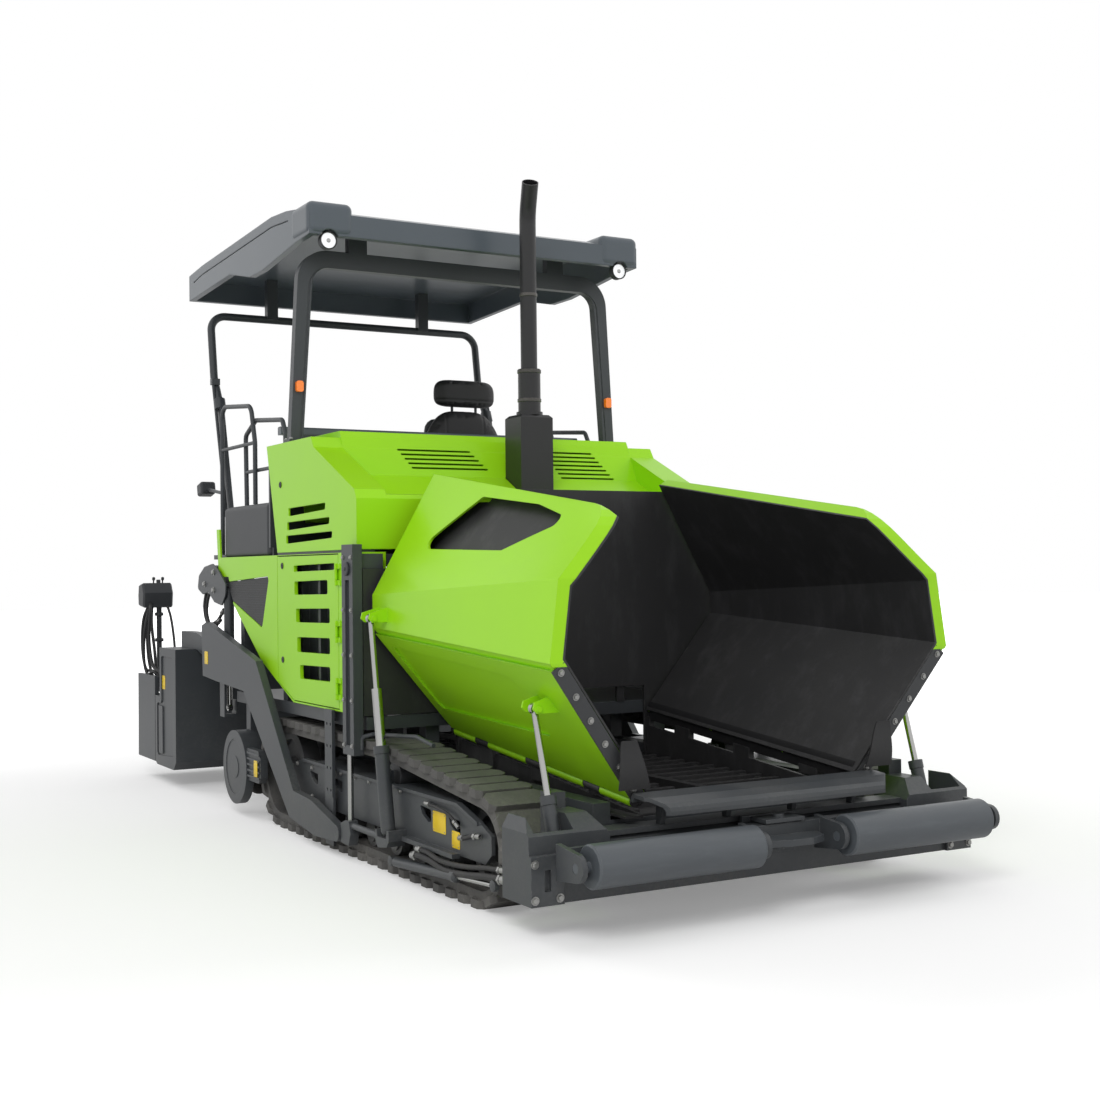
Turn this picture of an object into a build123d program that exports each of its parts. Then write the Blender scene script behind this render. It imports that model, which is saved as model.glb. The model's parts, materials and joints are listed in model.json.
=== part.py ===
"""Tracked asphalt paver with folding hopper wings, screed and canopy.

Lengths are in millimetres.  +X points forward to the hopper, +Y to the machine's
left and +Z up.  The origin is on the ground, in the middle of the overall plan.
Pieces are drawn on the left side (+Y) and mirrored in the XZ plane.
"""
from build123d import *
import math
import os

os.makedirs("parts", exist_ok=True)

# ---------------------------------------------------------------- driving dimensions
HALF_WIDTH = 1250        # front boxes, screed and drums
GAP = 1.0                # between pieces that run on each other
FIT = 0.3                # round pin in its bore

# tracks
SPROCKET = (-330, 330)   # x, z of the rear wheel
IDLER_X = 2320           # x of the front wheel
SPROCKET_R = 330         # over the pads
IDLER_R = 270            # over the pads
CARRIER = (1300, 490)    # x, z of the roller under the top run
CARRIER_R = 155          # over the pads
TRACK_OUT = 1165         # outer face of the pads
TRACK_W = 300
PAD_T = 30
PAD_L = 112
PAD_PITCH = 135
PAD_CHAMFER = 26
BAND_T = 50
ROLLER_R = 85
ROLLER_COUNT = 7
ROLLER_STEP = 300
ROLLER_X0 = 120
FRAME_Z = (210, 455)
FRAME_X = (-150, 2450)
FRAME_T = 20
FRAME_OUT = TRACK_OUT - 15         # outer face of the track frame
FRAME_IN = TRACK_OUT - TRACK_W + 40

# chassis
RAIL_Y = (700, 790)
RAIL_Z = (330, 500)
RAIL_X = (-700, 2740)
CROSS_Z = (330, 420)
DECK_Z = (700, 770)      # plate that carries the housings over the tracks

# front beam and push rollers
BEAM_X = (2740, 2975)
BEAM_Z = (140, 400)
BOX_IN = 850             # inner end of the raised front boxes
BOX_TOP = 500
PUSH_ROLLER = (3210, 330)
PUSH_ROLLER_R = 93
PUSH_ROLLER_Y = (250, 1100)
REAR_END = -(PUSH_ROLLER[0] + PUSH_ROLLER_R)   # rear of the screed walkway
PUSH_SHAFT_R = 22
PUSH_PIN = (3050, 26)    # x and radius of the vertical pin
APRON_Z = 560

# hopper wings: y, z of the outer outline at the rear and at the front
HINGE_Y = 647
WING_X = (1080, 2966)
WING_REAR = ((HINGE_Y, 675), (1133, 1250), (1133, 1420), (764, 2070))
WING_FRONT = ((HINGE_Y, 502), (1133, 1145), (1081, 1505), (764, 1807))
WING_LEAN = ((2878, 500), (2966, 1145), (2956, 1505), (2871, 1810))
CORNER_R = 130           # reach of the rounded top front corner
SKIN_T = 14
WING_GAP = 46            # between skin and liner
LINER_T = 10
STRIP_T = 9
RIM = 58                 # solid band along the top and front edges
HINGE_R = 25
HINGE_PIN_R = 12
HINGE_CLEAR = 34         # wing edge to hinge axis
FRAME_LIP = 12           # thickness of the pressed frame on the lower panel
REAR_EYE = (1225, 1205, 1300)
REAR_FOOT = (1440, TRACK_OUT + 47, 240)
REAR_BARREL_R = 37
FRONT_EYE = (2700, 1062, 935)
FRONT_FOOT = (2905, 1062, 250)
FRONT_BARREL_R = 32
EYE_PIN_R = 11
EYE_R = 24
EYE_W = 28
LUG_GAP = (58, 34)       # eye centre to the insides of the rear and front cheeks
LUG_T = 10

# engine housing
HOOD_Y = 1170
HOOD_T = 12
CROWN_Y = 990            # half width of the raised middle
HOOD_SIDE = ((-470, 2325), (290, 2325), (330, 2262), (930, 1990), (960, 1940), (960, 1665), (-290, 1665))
PANEL_Z = (775, 1650)
GRILLE = ((-1300, 1486), (-445, 1524), (-583, 1199), (-1177, 1361))   # mesh insert, x and z
DOOR_X = (-290, 690)
DOOR_Z = (790, 1640)
DOOR_HINGE = (693, 1184)  # x, y of the upright pins outside the front edge
HINGE_HEIGHTS = (900, 1215, 1530)
HINGE_LEAF = 60           # length of the door's knuckle
DOOR_KNUCKLE_R = 9
DOOR_PIN_R = 4
DOOR_LOW = (-20, 885)     # x where the door's lower edge turns up, and z of its rear corner

# exhaust
EXHAUST = (510, 150)     # x, y of the pipe
EXHAUST_BASE = (110, 90, 110)   # reach behind, in front and to each side

# canopy
ROOF_Y = 1136
ROOF_TOP = ((-2210, 3690), (-1890, 3712), (-450, 3750), (-180, 3730), (80, 3690), (205, 3650))
ROOF_LOW = ((205, 3520), (-20, 3510), (-630, 3450), (-870, 3450), (-1280, 3540), (-2210, 3510))
ROOF_T = 40
LAMP = (1010, 3493)       # y, z of the head lamps under the front corners
LAMP_R = 52
MARKER = (-110, 1091, 2662)
WORK_LAMP = (-2120, 1050, 2150)

# screed and its arms
TOW = (800, 130)         # x, z of the tow pin
TOW_PIN_R = 18
ARM_Y = (TRACK_OUT + 32, TRACK_OUT + 78)
GUIDE_X = (520, 640)
COLUMN_X = (895, 1046)
COLUMN_Y = (TRACK_OUT + 11, TRACK_OUT + 67)
COLUMN_LOW = 570
CLEVIS_TOP = 215
STRUT_Z = 190
TOW_ROD = (930, TRACK_OUT + 39)    # x, y of the rod that carries the tow point
LIFT_TOP = (-1320, 1145, 1420)
LIFT_LOW = (-1320, 1145, 650)
SCREED_X = (-2780, -2240)
SCREED_Z = (130, 1000)
SCREED_Y = 1250
EXTENSION_X = (-3230, -2790)
EXTENSION_Z = (136, 620)
WALK_Z = (640, 672)


# ---------------------------------------------------------------- helpers
def block(x, y, z):
    """A box between two values of each axis."""
    size = Box(x[1] - x[0], y[1] - y[0], z[1] - z[0])
    return Pos((x[0] + x[1]) / 2, (y[0] + y[1]) / 2, (z[0] + z[1]) / 2) * size


def slab_xz(outline, y0, y1):
    """An outline of (x, z) points, extruded from y0 to y1."""
    face = Face(Wire.make_polygon([(x, y0, z) for x, z in outline]))
    return Solid.extrude(face, Vector(0, y1 - y0, 0))


def slab_yz(outline, x0, x1):
    """An outline of (y, z) points, extruded from x0 to x1."""
    face = Face(Wire.make_polygon([(x0, y, z) for y, z in outline]))
    return Solid.extrude(face, Vector(x1 - x0, 0, 0))


def soft_outline(points, radius):
    """A closed face through 3-D points, with rounded corners."""
    return Face(Wire(FilletPolyline(*points, radius=radius, close=True).edges()))


def soft_xz(outline, radius, y0, y1):
    """Like slab_xz, with rounded corners."""
    return Solid.extrude(soft_outline([(x, y0, z) for x, z in outline], radius), Vector(0, y1 - y0, 0))


def soft_yz(outline, radius, x0, x1):
    """Like slab_yz, with rounded corners."""
    return Solid.extrude(soft_outline([(x0, y, z) for y, z in outline], radius), Vector(x1 - x0, 0, 0))


def portal(points, radius, x0, x1):
    """A solid under an open run of (y, z) points with rounded corners, closed along its foot."""
    run = FilletPolyline(*[(x0, y, z) for y, z in points], radius=radius)
    foot = Edge.make_line(run @ 1, run @ 0)
    return Solid.extrude(Face(Wire(run.edges() + [foot])), Vector(x1 - x0, 0, 0))


def slab_xy(outline, z0, z1):
    """An outline of (x, y) points, extruded from z0 to z1."""
    face = Face(Wire.make_polygon([(x, y, z0) for x, y in outline]))
    return Solid.extrude(face, Vector(0, 0, z1 - z0))


def rod(start, end, radius):
    """A round bar between two points."""
    start, end = Vector(start), Vector(end)
    return Solid.make_cylinder(radius, (end - start).length, Plane(start, z_dir=end - start))


def across(x, z, radius, y0, y1):
    """A round bar along Y."""
    return rod((x, y0, z), (x, y1, z), radius)


def bent_tube(points, radius, bend):
    """A round tube along straight runs with rounded corners."""
    path = FilletPolyline(*points, radius=bend)
    return sweep(Plane(path @ 0, z_dir=path % 0) * Circle(radius), path=path)


def other_side(shape):
    return mirror(shape, about=Plane.XZ)


def both(shape):
    return [shape, other_side(shape)]


def join(*shapes):
    """One solid from pieces that touch."""
    first, *rest = shapes
    return first.fuse(*rest) if rest else first


def save(node, *shapes):
    """Write one STEP file that holds a node's solids."""
    solids = [solid for shape in shapes for solid in shape.solids()]
    body = Compound(solids)
    body.label = node
    export_step(body, f"parts/{node}.step")


# ---------------------------------------------------------------- tracks
def belt_tangents(wheels):
    """Each wheel (x, z, r) with the normals where the belt meets and leaves it."""
    normals = []
    for (x1, z1, r1), (x2, z2, r2) in zip(wheels, wheels[1:] + wheels[:1]):
        run = math.hypot(x2 - x1, z2 - z1)
        along = ((x2 - x1) / run, (z2 - z1) / run)
        lean = (r1 - r2) / run
        rise = math.sqrt(1 - lean * lean)
        normals.append((lean * along[0] - rise * along[1], lean * along[1] + rise * along[0]))
    return [(wheel, normals[i - 1], normals[i]) for i, wheel in enumerate(wheels)]


def belt_runs(wheels):
    """Arcs and straight runs of a belt, clockwise: (kind, length, data)."""
    runs = []
    tangents = belt_tangents(wheels)
    for i, ((x, z, r), n_in, n_out) in enumerate(tangents):
        a_in = math.atan2(n_in[1], n_in[0])
        a_out = math.atan2(n_out[1], n_out[0])
        while a_out > a_in:
            a_out -= 2 * math.pi
        runs.append(("arc", r * (a_in - a_out), (x, z, r, a_in, a_out)))
        (x2, z2, r2), _, _ = tangents[(i + 1) % len(tangents)]
        start = (x + r * n_out[0], z + r * n_out[1])
        end = (x2 + r2 * n_out[0], z2 + r2 * n_out[1])
        runs.append(("line", math.dist(start, end), (start, end)))
    return runs


def belt_wire(wheels, y):
    edges = []
    for kind, _, data in belt_runs(wheels):
        if kind == "line":
            (x1, z1), (x2, z2) = data
            edges.append(Edge.make_line((x1, y, z1), (x2, y, z2)))
        else:
            x, z, r, a_in, a_out = data
            marks = [a_in, (a_in + a_out) / 2, a_out]
            points = [(x + r * math.cos(a), y, z + r * math.sin(a)) for a in marks]
            edges.append(Edge.make_three_point_arc(*points))
    return Wire(edges)


def belt_place(wheels, distance):
    """Point (x, z), outward angle and bend radius (0 if straight) along the belt."""
    for kind, length, data in belt_runs(wheels):
        if distance <= length:
            share = distance / length
            if kind == "line":
                (x1, z1), (x2, z2) = data
                angle = math.atan2(x2 - x1, -(z2 - z1))
                return x1 + (x2 - x1) * share, z1 + (z2 - z1) * share, angle, 0
            x, z, r, a_in, a_out = data
            angle = a_in + (a_out - a_in) * share
            return x + r * math.cos(angle), z + r * math.sin(angle), angle, r
        distance -= length
    raise ValueError("distance is past the belt's end")


TRACK_WHEELS = [
    (SPROCKET[0], SPROCKET[1], SPROCKET_R - PAD_T),
    (CARRIER[0], CARRIER[1], CARRIER_R - PAD_T),
    (IDLER_X, IDLER_R, IDLER_R - PAD_T),
]


def track_belt():
    """Closed band with a chamfered pad on each link."""
    y0, y1 = TRACK_OUT - TRACK_W, TRACK_OUT
    inner_wheels = [(x, z, r - BAND_T) for x, z, r in TRACK_WHEELS]
    face = Face(belt_wire(TRACK_WHEELS, y0 + 20), [belt_wire(inner_wheels, y0 + 20)])
    band = Solid.extrude(face, Vector(0, TRACK_W - 40, 0))
    total = sum(length for _, length, _ in belt_runs(TRACK_WHEELS))
    count = round(total / PAD_PITCH)
    c = PAD_CHAMFER
    half = PAD_L / 2
    mid = (y0 + y1) / 2
    w = TRACK_W / 2
    plan = [(-half, -w + c), (-half + c, -w), (half - c, -w), (half, -w + c),
            (half, w - c), (half - c, w), (-half + c, w), (-half, w - c)]
    sink = 10
    pads = []
    for i in range(count):
        x, z, angle, bend = belt_place(TRACK_WHEELS, total * (i + 0.5) / count)
        reach = bend + PAD_T
        sag = reach - math.sqrt(reach ** 2 - half ** 2) if bend else 0
        out = Vector(math.cos(angle), 0, math.sin(angle))
        along = Vector(math.sin(angle), 0, -math.cos(angle))
        base = Vector(x, mid, z) - out * (sink + sag)
        corners = [base + along * a + Vector(0, b, 0) for a, b in plan]
        pads.append(Solid.extrude(Face(Wire.make_polygon(corners)), out * (PAD_T + sink)))
    return band.fuse(*pads)


def running_wheels():
    """Sprocket, idler, carrier and bottom rollers inside one belt."""
    y0, y1 = FRAME_IN + FRAME_T + GAP, FRAME_OUT - FRAME_T - GAP
    wheels = []
    for (x, z, r) in (TRACK_WHEELS[0], TRACK_WHEELS[2]):
        rim = r - BAND_T - GAP
        disc = across(x, z, rim, y0 + 50, y1 - 50)
        disc = disc - across(x, z, rim * 0.78, y0 + 50, y0 + 80) - across(x, z, rim * 0.78, y1 - 80, y1 - 50)
        wheels.append(join(disc, across(x, z, rim * 0.35, y0, y1)))
    carrier_x, carrier_z, carrier_r = TRACK_WHEELS[1]
    wheels.append(across(carrier_x, carrier_z, carrier_r - BAND_T - GAP, y0 + 20, y1 - 20))
    low = PAD_T + BAND_T + GAP + ROLLER_R
    for i in range(ROLLER_COUNT):
        x = ROLLER_X0 + i * ROLLER_STEP
        tread = across(x, low, ROLLER_R, y0 + 12, y0 + 62)
        far_tread = across(x, low, ROLLER_R, y1 - 62, y1 - 12)
        wheels.append(join(tread, far_tread, across(x, low, ROLLER_R * 0.7, y0, y1)))
    return wheels


def track_frame():
    """Upside-down channel over the rollers, with outriggers to the chassis rail."""
    (x0, x1), (z0, z1) = FRAME_X, FRAME_Z
    side = [(x0, z0 + 60), (x0 + 80, z0), (x1 - 60, z0), (x1, z0 + 50), (x1, z1 - 110), (x1 - 120, z1 - 60),
            (x1 - 330, z1), (x0 + 240, z1), (x0, z1 - 60)]
    outer = slab_xz(side, FRAME_OUT - FRAME_T, FRAME_OUT)
    inner = slab_xz(side, FRAME_IN, FRAME_IN + FRAME_T)
    for x, z in ((x0 + 330, z1 - 60), (x0 + 700, z1 - 60), (x1 - 760, z1 - 64), (x1 - 440, z1 - 76)):
        window = [(x, z), (x + 126, z - 8), (x + 128, z - 66), (x + 96, z - 72), (x + 24, z - 40)]
        outer -= soft_xz(window, 8, FRAME_OUT - FRAME_T - 1, FRAME_OUT + 1)
    lip = slab_xz([(x0 + 240, z1 - 16), (x1 - 330, z1 - 16), (x1 - 120, z1 - 76), (x1 - 120, z1 - 60),
                   (x1 - 330, z1), (x0 + 240, z1)], FRAME_OUT - 1, FRAME_OUT + 12)
    top = block((x0 + 400, x1 - 400), (FRAME_IN, FRAME_OUT), (z1 - FRAME_T, z1))
    top -= block((CARRIER[0] - 90, CARRIER[0] + 90), (FRAME_IN + FRAME_T, FRAME_OUT - FRAME_T), (z1 - FRAME_T, z1))
    posts = [block((CARRIER[0] - 40, CARRIER[0] + 40), y, (z1 - FRAME_T, CARRIER[1] + 30))
             for y in ((FRAME_IN, FRAME_IN + FRAME_T), (FRAME_OUT - FRAME_T, FRAME_OUT))]
    legs = [block((x, x + 220), (RAIL_Y[1], FRAME_IN), (RAIL_Z[0] + 15, z1 - 10)) for x in (250, 1500)]
    step = block((1560, 2130), (FRAME_OUT, FRAME_OUT + 42), (z0 - 12, z0 + 10))
    return join(outer, inner, lip, top, *posts, *legs, step)


# ---------------------------------------------------------------- chassis
def chassis():
    """Two box rails tied by cross members, with the platform that carries the housings."""
    rails = [block(RAIL_X, y, RAIL_Z) for y in (RAIL_Y, (-RAIL_Y[1], -RAIL_Y[0]))]
    crosses = [block((x, x + 100), (-RAIL_Y[0], RAIL_Y[0]), CROSS_Z) for x in (-700, -420, 420, 1500, 2640)]
    posts = []
    for x in (-690, -380, 420, 900):
        for y in ((RAIL_Y[0] + 5, RAIL_Y[1] - 5), (-RAIL_Y[1] + 5, -RAIL_Y[0] - 5)):
            posts.append(block((x, x + 90), y, (RAIL_Z[1], DECK_Z[0])))
    plate = block((-1150, 1030), (-1150, 1150), DECK_Z)
    return join(*rails, *crosses, *posts, plate)


def body_frame():
    """Pillars and rails behind the panels, under the hood and the driver's floor."""
    parts = []
    pillars = ((-1120, -1050), (-314, -244), (878, 948))
    for side in (-1, 1):
        for x in pillars:
            parts.append(block(x, sorted((side * 1060, side * 1130)), (DECK_Z[1], 1640)))
        parts.append(block((-314, 948), sorted((side * 1060, side * (HOOD_Y - HOOD_T))), (1646, 1690)))
        parts.append(block((-314, 948), sorted((side * 1060, side * 1120)), (1600, 1646)))
        parts.append(block((-1600, -244), sorted((side * 1040, side * 1095)), (1560, 1640)))
        parts.append(block((-300, 900), sorted((side * 1061, side * 1067)), (DECK_Z[1], 1646)))
        for x in (-60, 230, 520, 790):
            parts.append(block((x, x + 34), sorted((side * 1067, side * 1110)), (DECK_Z[1], 1600)))
    for x in pillars + ((-1600, -1530),):
        parts.append(block(x, (-1095, 1095), (1580, 1640)))
    return join(*parts)


def engine_block():
    return block((-230, 560), (-430, 430), (DECK_Z[1], 1590))


# ---------------------------------------------------------------- front beam
def front_beam():
    """Cross beam with the raised boxes at its ends, the rollers' pin and the cylinders' pockets."""
    (x0, x1), (z0, z1) = BEAM_X, BEAM_Z
    middle = slab_xz([(x0, z0), (x1, z0), (x1, z1 - 60), (x1 - 90, z1), (x0, z1)], -HALF_WIDTH, HALF_WIDTH)
    parts = [middle]
    raised = [(x0, z1), (x0, BOX_TOP), (x0 + 150, BOX_TOP), (x1, z1 + 30), (x1, z1 - 60)]
    end = slab_xz(raised, BOX_IN, HALF_WIDTH)
    slope = slab_yz([(BOX_IN - 5, z1), (BOX_IN + 70, BOX_TOP + 5), (BOX_IN - 5, BOX_TOP + 5)], x0 - 1, x1 + 1)
    edge = slab_yz([(HALF_WIDTH - 34, BOX_TOP + 1), (HALF_WIDTH + 1, BOX_TOP + 1), (HALF_WIDTH + 1, BOX_TOP - 58)],
                   x0 - 1, x1 + 1)
    toe = slab_xz([(x1 - 24, z1 - 40), (x1 - 24, z1 + 60), (x1 + 1, z1 + 60), (x1 + 1, z1 - 40)],
                  HALF_WIDTH - 26, HALF_WIDTH + 1)
    end = end - slope - edge
    plate_z = z0 + 210
    lower_plate = block((x1, x1 + 20), (HALF_WIDTH - 160, HALF_WIDTH), (z0, plate_z))
    slot = slab_xz([(x1 - 1, z0 + 60), (x1 + 21, z0 + 60), (x1 + 21, z0 + 150), (x1 - 1, z0 + 150)],
                   HALF_WIDTH - 96, HALF_WIDTH - 66)
    post = block((x0 - 66, x0 + 14), (940, 1022), (z1, BOX_TOP + 70))
    foot = block((x0 - 66, x0), (940, 1022), (z1 - 60, z1))
    gusset = slab_xy([(x1 - 1, BOX_IN + 60), (x1 + 50, BOX_IN + 120), (x1 + 50, HALF_WIDTH - 165), (x1 - 1, HALF_WIDTH - 165)],
                     z1 - 92, z1 - 76)
    for piece in (end, lower_plate - slot, join(post, foot), gusset):
        parts += both(piece)
    px, py, pz = FRONT_FOOT
    wide = (py - FRONT_BARREL_R - 6, py + 155)
    pocket = block((x0 + 36, x1 - 15), wide, (pz - FRONT_BARREL_R - 4, BOX_TOP + 20))
    pocket = join(pocket, block((x0 - 1, x0 + 50), wide, (z1 - 20, BOX_TOP + 20)))
    step = block((x1 - 160, x1 - 40), (-BOX_IN, BOX_IN), (z1 - 10, z1 + 14))
    lugs = [block((x1, PUSH_PIN[0] + 55), (-110, 110), z) for z in ((285, 303), (397, 415))]
    back = block((x1 - 10, x1 + 8), (-150, 150), (240, 420))
    beam = join(*parts, step, *lugs, back) - pocket - other_side(pocket)
    pin_x, pin_r = PUSH_PIN
    pin = rod((pin_x, 0, 270), (pin_x, 0, 430), pin_r - FIT)
    return join(beam, pin)


def push_bar():
    """Swinging bar behind the rollers, with the end brackets that hold them."""
    rear, front = 3030, 3095
    ends = 1165
    taper = 48
    plan = [(rear, -160), (rear, 160), (rear + taper, ends), (front, ends), (front, -ends), (rear + taper, -ends)]
    bar = slab_xy(plan, 308, 392)
    pin_x, pin_r = PUSH_PIN
    tongue = block((pin_x - 45, front), (-150, 150), (308, 392))
    bar = join(bar, tongue) - rod((pin_x, 0, 200), (pin_x, 0, 500), pin_r + FIT)
    rx, rz = PUSH_ROLLER
    cheeks = []
    for y in (ends - 25, -ends, PUSH_ROLLER_Y[0] - 45, -PUSH_ROLLER_Y[0] + 20):
        cheek = slab_xz([(front - 40, rz - 75), (front - 40, rz + 78), (rx, rz + 60), (rx, rz - 60)], y, y + 25)
        cheek = join(cheek, across(rx, rz, 60, y, y + 25))
        cheeks.append(cheek - across(rx, rz, PUSH_SHAFT_R + FIT, y - 1, y + 26))
    lip = slab_xy([(front - 5, -190), (front + 95, -150), (front + 130, -60), (front + 130, 60),
                   (front + 95, 150), (front - 5, 190)], 310, 340)
    return join(bar, *cheeks, lip)


def push_roller():
    rx, rz = PUSH_ROLLER
    y0, y1 = PUSH_ROLLER_Y
    drum = across(rx, rz, PUSH_ROLLER_R, y0, y1)
    drum = chamfer(drum.edges().filter_by(GeomType.CIRCLE), 8)
    return join(drum, across(rx, rz, PUSH_SHAFT_R, y0 - 44, 1164))


def apron():
    """Folded plate with a rounded lip in front of the hopper, with its supports on the beam."""
    z = APRON_Z
    back, bend, nose = 2896, 3020, 3088
    plate = slab_xz([(back, z - 40), (back, z - 20), (back + 14, z), (bend, z - 10), (nose - 20, z - 32),
                     (nose - 4, z - 48), (nose, z - 66), (nose, z - 84), (nose - 16, z - 84), (nose - 17, z - 66),
                     (nose - 26, z - 50), (bend - 2, z - 27), (back + 20, z - 20), (back + 16, z - 40)], -690, 690)
    clip = slab_xy([(3000, 690), (3100, 690), (3100, 600)], z - 100, z + 20)
    plate = plate - clip - other_side(clip)
    parts = [plate]
    for y in (-560, -200, 175, 535):
        parts.append(slab_xz([(back, 414), (2930, 414), (2960, z - 22), (back, z - 38)], y, y + 25))
    return join(*parts)


# ---------------------------------------------------------------- hopper
def hinge_point(x):
    """Hinge axis at a given x, on the left side."""
    share = (x - WING_X[0]) / (WING_X[1] - WING_X[0])
    return Vector(x, HINGE_Y, WING_REAR[0][1] + (WING_FRONT[0][1] - WING_REAR[0][1]) * share)


def inward(outline, depth):
    """The outline moved towards the hopper's inside by a depth."""
    moved = []
    normals = []
    for (y1, z1), (y2, z2) in zip(outline, outline[1:]):
        run = math.hypot(y2 - y1, z2 - z1)
        normals.append((-(z2 - z1) / run, (y2 - y1) / run))
    for i, (y, z) in enumerate(outline):
        before = normals[max(i - 1, 0)]
        after = normals[min(i, len(normals) - 1)]
        share = 1 + before[0] * after[0] + before[1] * after[1]
        moved.append((y + depth * (before[0] + after[0]) / share, z + depth * (before[1] + after[1]) / share))
    return moved


def wing_layer(outer_depth, inner_depth):
    """Sheet that follows the wing's outline between two depths, with the leaning front."""
    wires = []
    for x, outline in ((WING_X[0], WING_REAR), (WING_X[1], WING_FRONT)):
        loop = inward(outline, outer_depth) + inward(outline, inner_depth)[::-1]
        wires.append(Wire.make_polygon([(x, y, z) for y, z in loop]))
    sheet = Solid.make_loft(wires, ruled=True)
    lean = list(WING_LEAN)
    cut = [(lean[0][0] - 14, 400)] + lean[:-1] + wing_corner() + [(WING_X[0], 2200), (3200, 2200), (3200, 400)]
    sheet = sheet - slab_xz(cut, 300, 1400)
    keep = rod(hinge_point(WING_X[0] - 50), hinge_point(WING_X[1] + 50), HINGE_CLEAR)
    return sheet - keep


def top_edge(x):
    """Height of the wing's top edge at a given x."""
    share = (x - WING_X[0]) / (WING_X[1] - WING_X[0])
    return WING_REAR[-1][1] + (WING_FRONT[-1][1] - WING_REAR[-1][1]) * share


def wing_corner(depth=0):
    """Rounded top front corner as (x, z) points, from the front edge back to the top edge."""
    (xl, zl), (xt, zt) = WING_LEAN[-2:]
    reach = CORNER_R / math.hypot(xt - xl, zt - zl)
    start = (xt + (xl - xt) * reach - depth, zt + (zl - zt) * reach)
    tip = (xt - depth, top_edge(xt) - depth)
    end = (xt - CORNER_R - depth, top_edge(xt - CORNER_R) - depth)
    points = []
    for i in range(6):
        t = i / 5
        points.append(tuple((1 - t) ** 2 * a + 2 * t * (1 - t) * b + t * t * c for a, b, c in zip(start, tip, end)))
    return points + [(WING_X[0], top_edge(WING_X[0]) - depth)]


def wing_rim():
    """Region of the solid band along the top edge and around the top front corner."""
    inner = [(2940, 1560)] + wing_corner(RIM)
    return slab_xz([(3100, 1500), (2890, 1500)] + inner[1:] + [(WING_X[0], 2300), (3100, 2300)], 300, 1400)


def front_band(depth):
    """Strip along the leaning front edge, for the front rib."""
    lean = list(WING_LEAN)
    line = [(lean[0][0] - 14, 400)] + lean + [(lean[-1][0] - 20, 2200)]
    return slab_xz(line + [(x - depth, z) for x, z in line[::-1]], 300, 1400)


KNUCKLES = ((1100, 1350), (1500, 1900), (2050, 2450), (2600, 2850))


def wing():
    """Outer skin with its opening, ribs, rim, pressed frame, hinge knuckles and cylinder lugs."""
    skin = wing_layer(0, SKIN_T)
    fill = wing_layer(SKIN_T - 1, SKIN_T + WING_GAP)
    front = fill & front_band(16)
    rear = fill & block((WING_X[0], WING_X[0] + 14), (300, 1400), (400, 2300))
    parts = [skin, front, rear, fill & wing_rim()]
    for x in (1700, 2320):
        parts.append(fill & block((x, x + 10), (300, 1400), (400, 2300)))
    low_panel = slab_xz([(WING_X[0] + 1, 400), (WING_X[0] + 1, 1215), (2990, 1112), (2990, 400)], 300, 1400)
    recess = soft_xz([(1190, 812), (2470, 776), (2490, 1062), (1180, 1150)], 40, 300, 1400)
    frame = (wing_layer(-FRAME_LIP, 1) & low_panel) - recess
    knuckles = []
    for x0, x1 in KNUCKLES:
        a, b = hinge_point(x0), hinge_point(x1)
        slope = (b - a).normalized()
        web = Plane(a, x_dir=slope, z_dir=slope.cross(Vector(0, 486, 640).normalized()))
        plate = web * Pos((b - a).length / 2, (HINGE_CLEAR + 20) / 2, 0) * Box((b - a).length, HINGE_CLEAR + 20, 12)
        knuckles.append(join(rod(a, b, HINGE_R), plate))
    bore = rod(hinge_point(WING_X[0] - 50), hinge_point(WING_X[1]), HINGE_PIN_R + FIT)
    window = soft_xz([(1738, 1914), (2300, 1852), (2640, 1772), (2240, 1636), (1470, 1656), (1400, 1690)], 30, 700, 1400)
    body = join(*parts, frame, *[k - bore for k in knuckles]) - window - front_strip()
    return join(body, *wing_lugs())


def front_strip():
    """Dark strip along the lower part of the leaning front edge, bolted to the front rib."""
    whole = wing_layer(-FRAME_LIP, SKIN_T + WING_GAP)
    return whole & front_band(STRIP_T) & slab_xz([(2500, 400), (3200, 400), (3200, 1130), (2500, 1130)], 300, 1400)


def wing_lugs():
    """Pairs of cheeks on the skin that hold the cylinder eyes between them."""
    lugs = []
    for (ex, ey, ez), reach in ((REAR_EYE, 110), (FRONT_EYE, 100)):
        outline = [(ey - reach, ez - 20), (ey + 10, ez - 20), (ey + 30, ez), (ey + 22, ez + 30), (ey - reach + 25, ez + 60)]
        for side, gap in zip((-1, 1), LUG_GAP):
            near, far = sorted((ex + side * gap, ex + side * (gap + LUG_T)))
            lugs.append(slab_yz(outline, near, far))
            tip = sorted((ex + side * (gap + LUG_T), ex + side * (gap + LUG_T + 8)))
            lugs.append(rod((tip[0], ey, ez), (tip[1], ey, ez), EYE_PIN_R + 4))
    return lugs


def wing_liner():
    return wing_layer(SKIN_T + WING_GAP, SKIN_T + WING_GAP + LINER_T)


def hopper_floor():
    """Sills beside the conveyors with the hinge pins, knuckles and their webs."""
    parts = []
    a, b = hinge_point(1062), hinge_point(2866)
    pin = rod(a, b, HINGE_PIN_R)
    sill = slab_xz([(1062, 440), (2866, 440), (2866, 455), (1062, 628)], 606, 622)
    parts.append(sill)
    ends = [(1062, 1094)] + [(p[1] + 6, q[0] - 6) for p, q in zip(KNUCKLES, KNUCKLES[1:])] + [(2856, 2866)]
    for x0, x1 in ends:
        p, q = hinge_point(x0), hinge_point(x1)
        parts.append(rod(p, q, HINGE_R))
        foot = slab_xz([(x0, 500), (x1, 500), (x1, q.Z), (x0, p.Z)], 606, 640)
        parts.append(foot)
    parts.append(slab_xz([(1062, 440), (2866, 440), (2866, 452), (1062, 452)], 606, RAIL_Y[0]))
    return join(*parts, pin)


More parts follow.
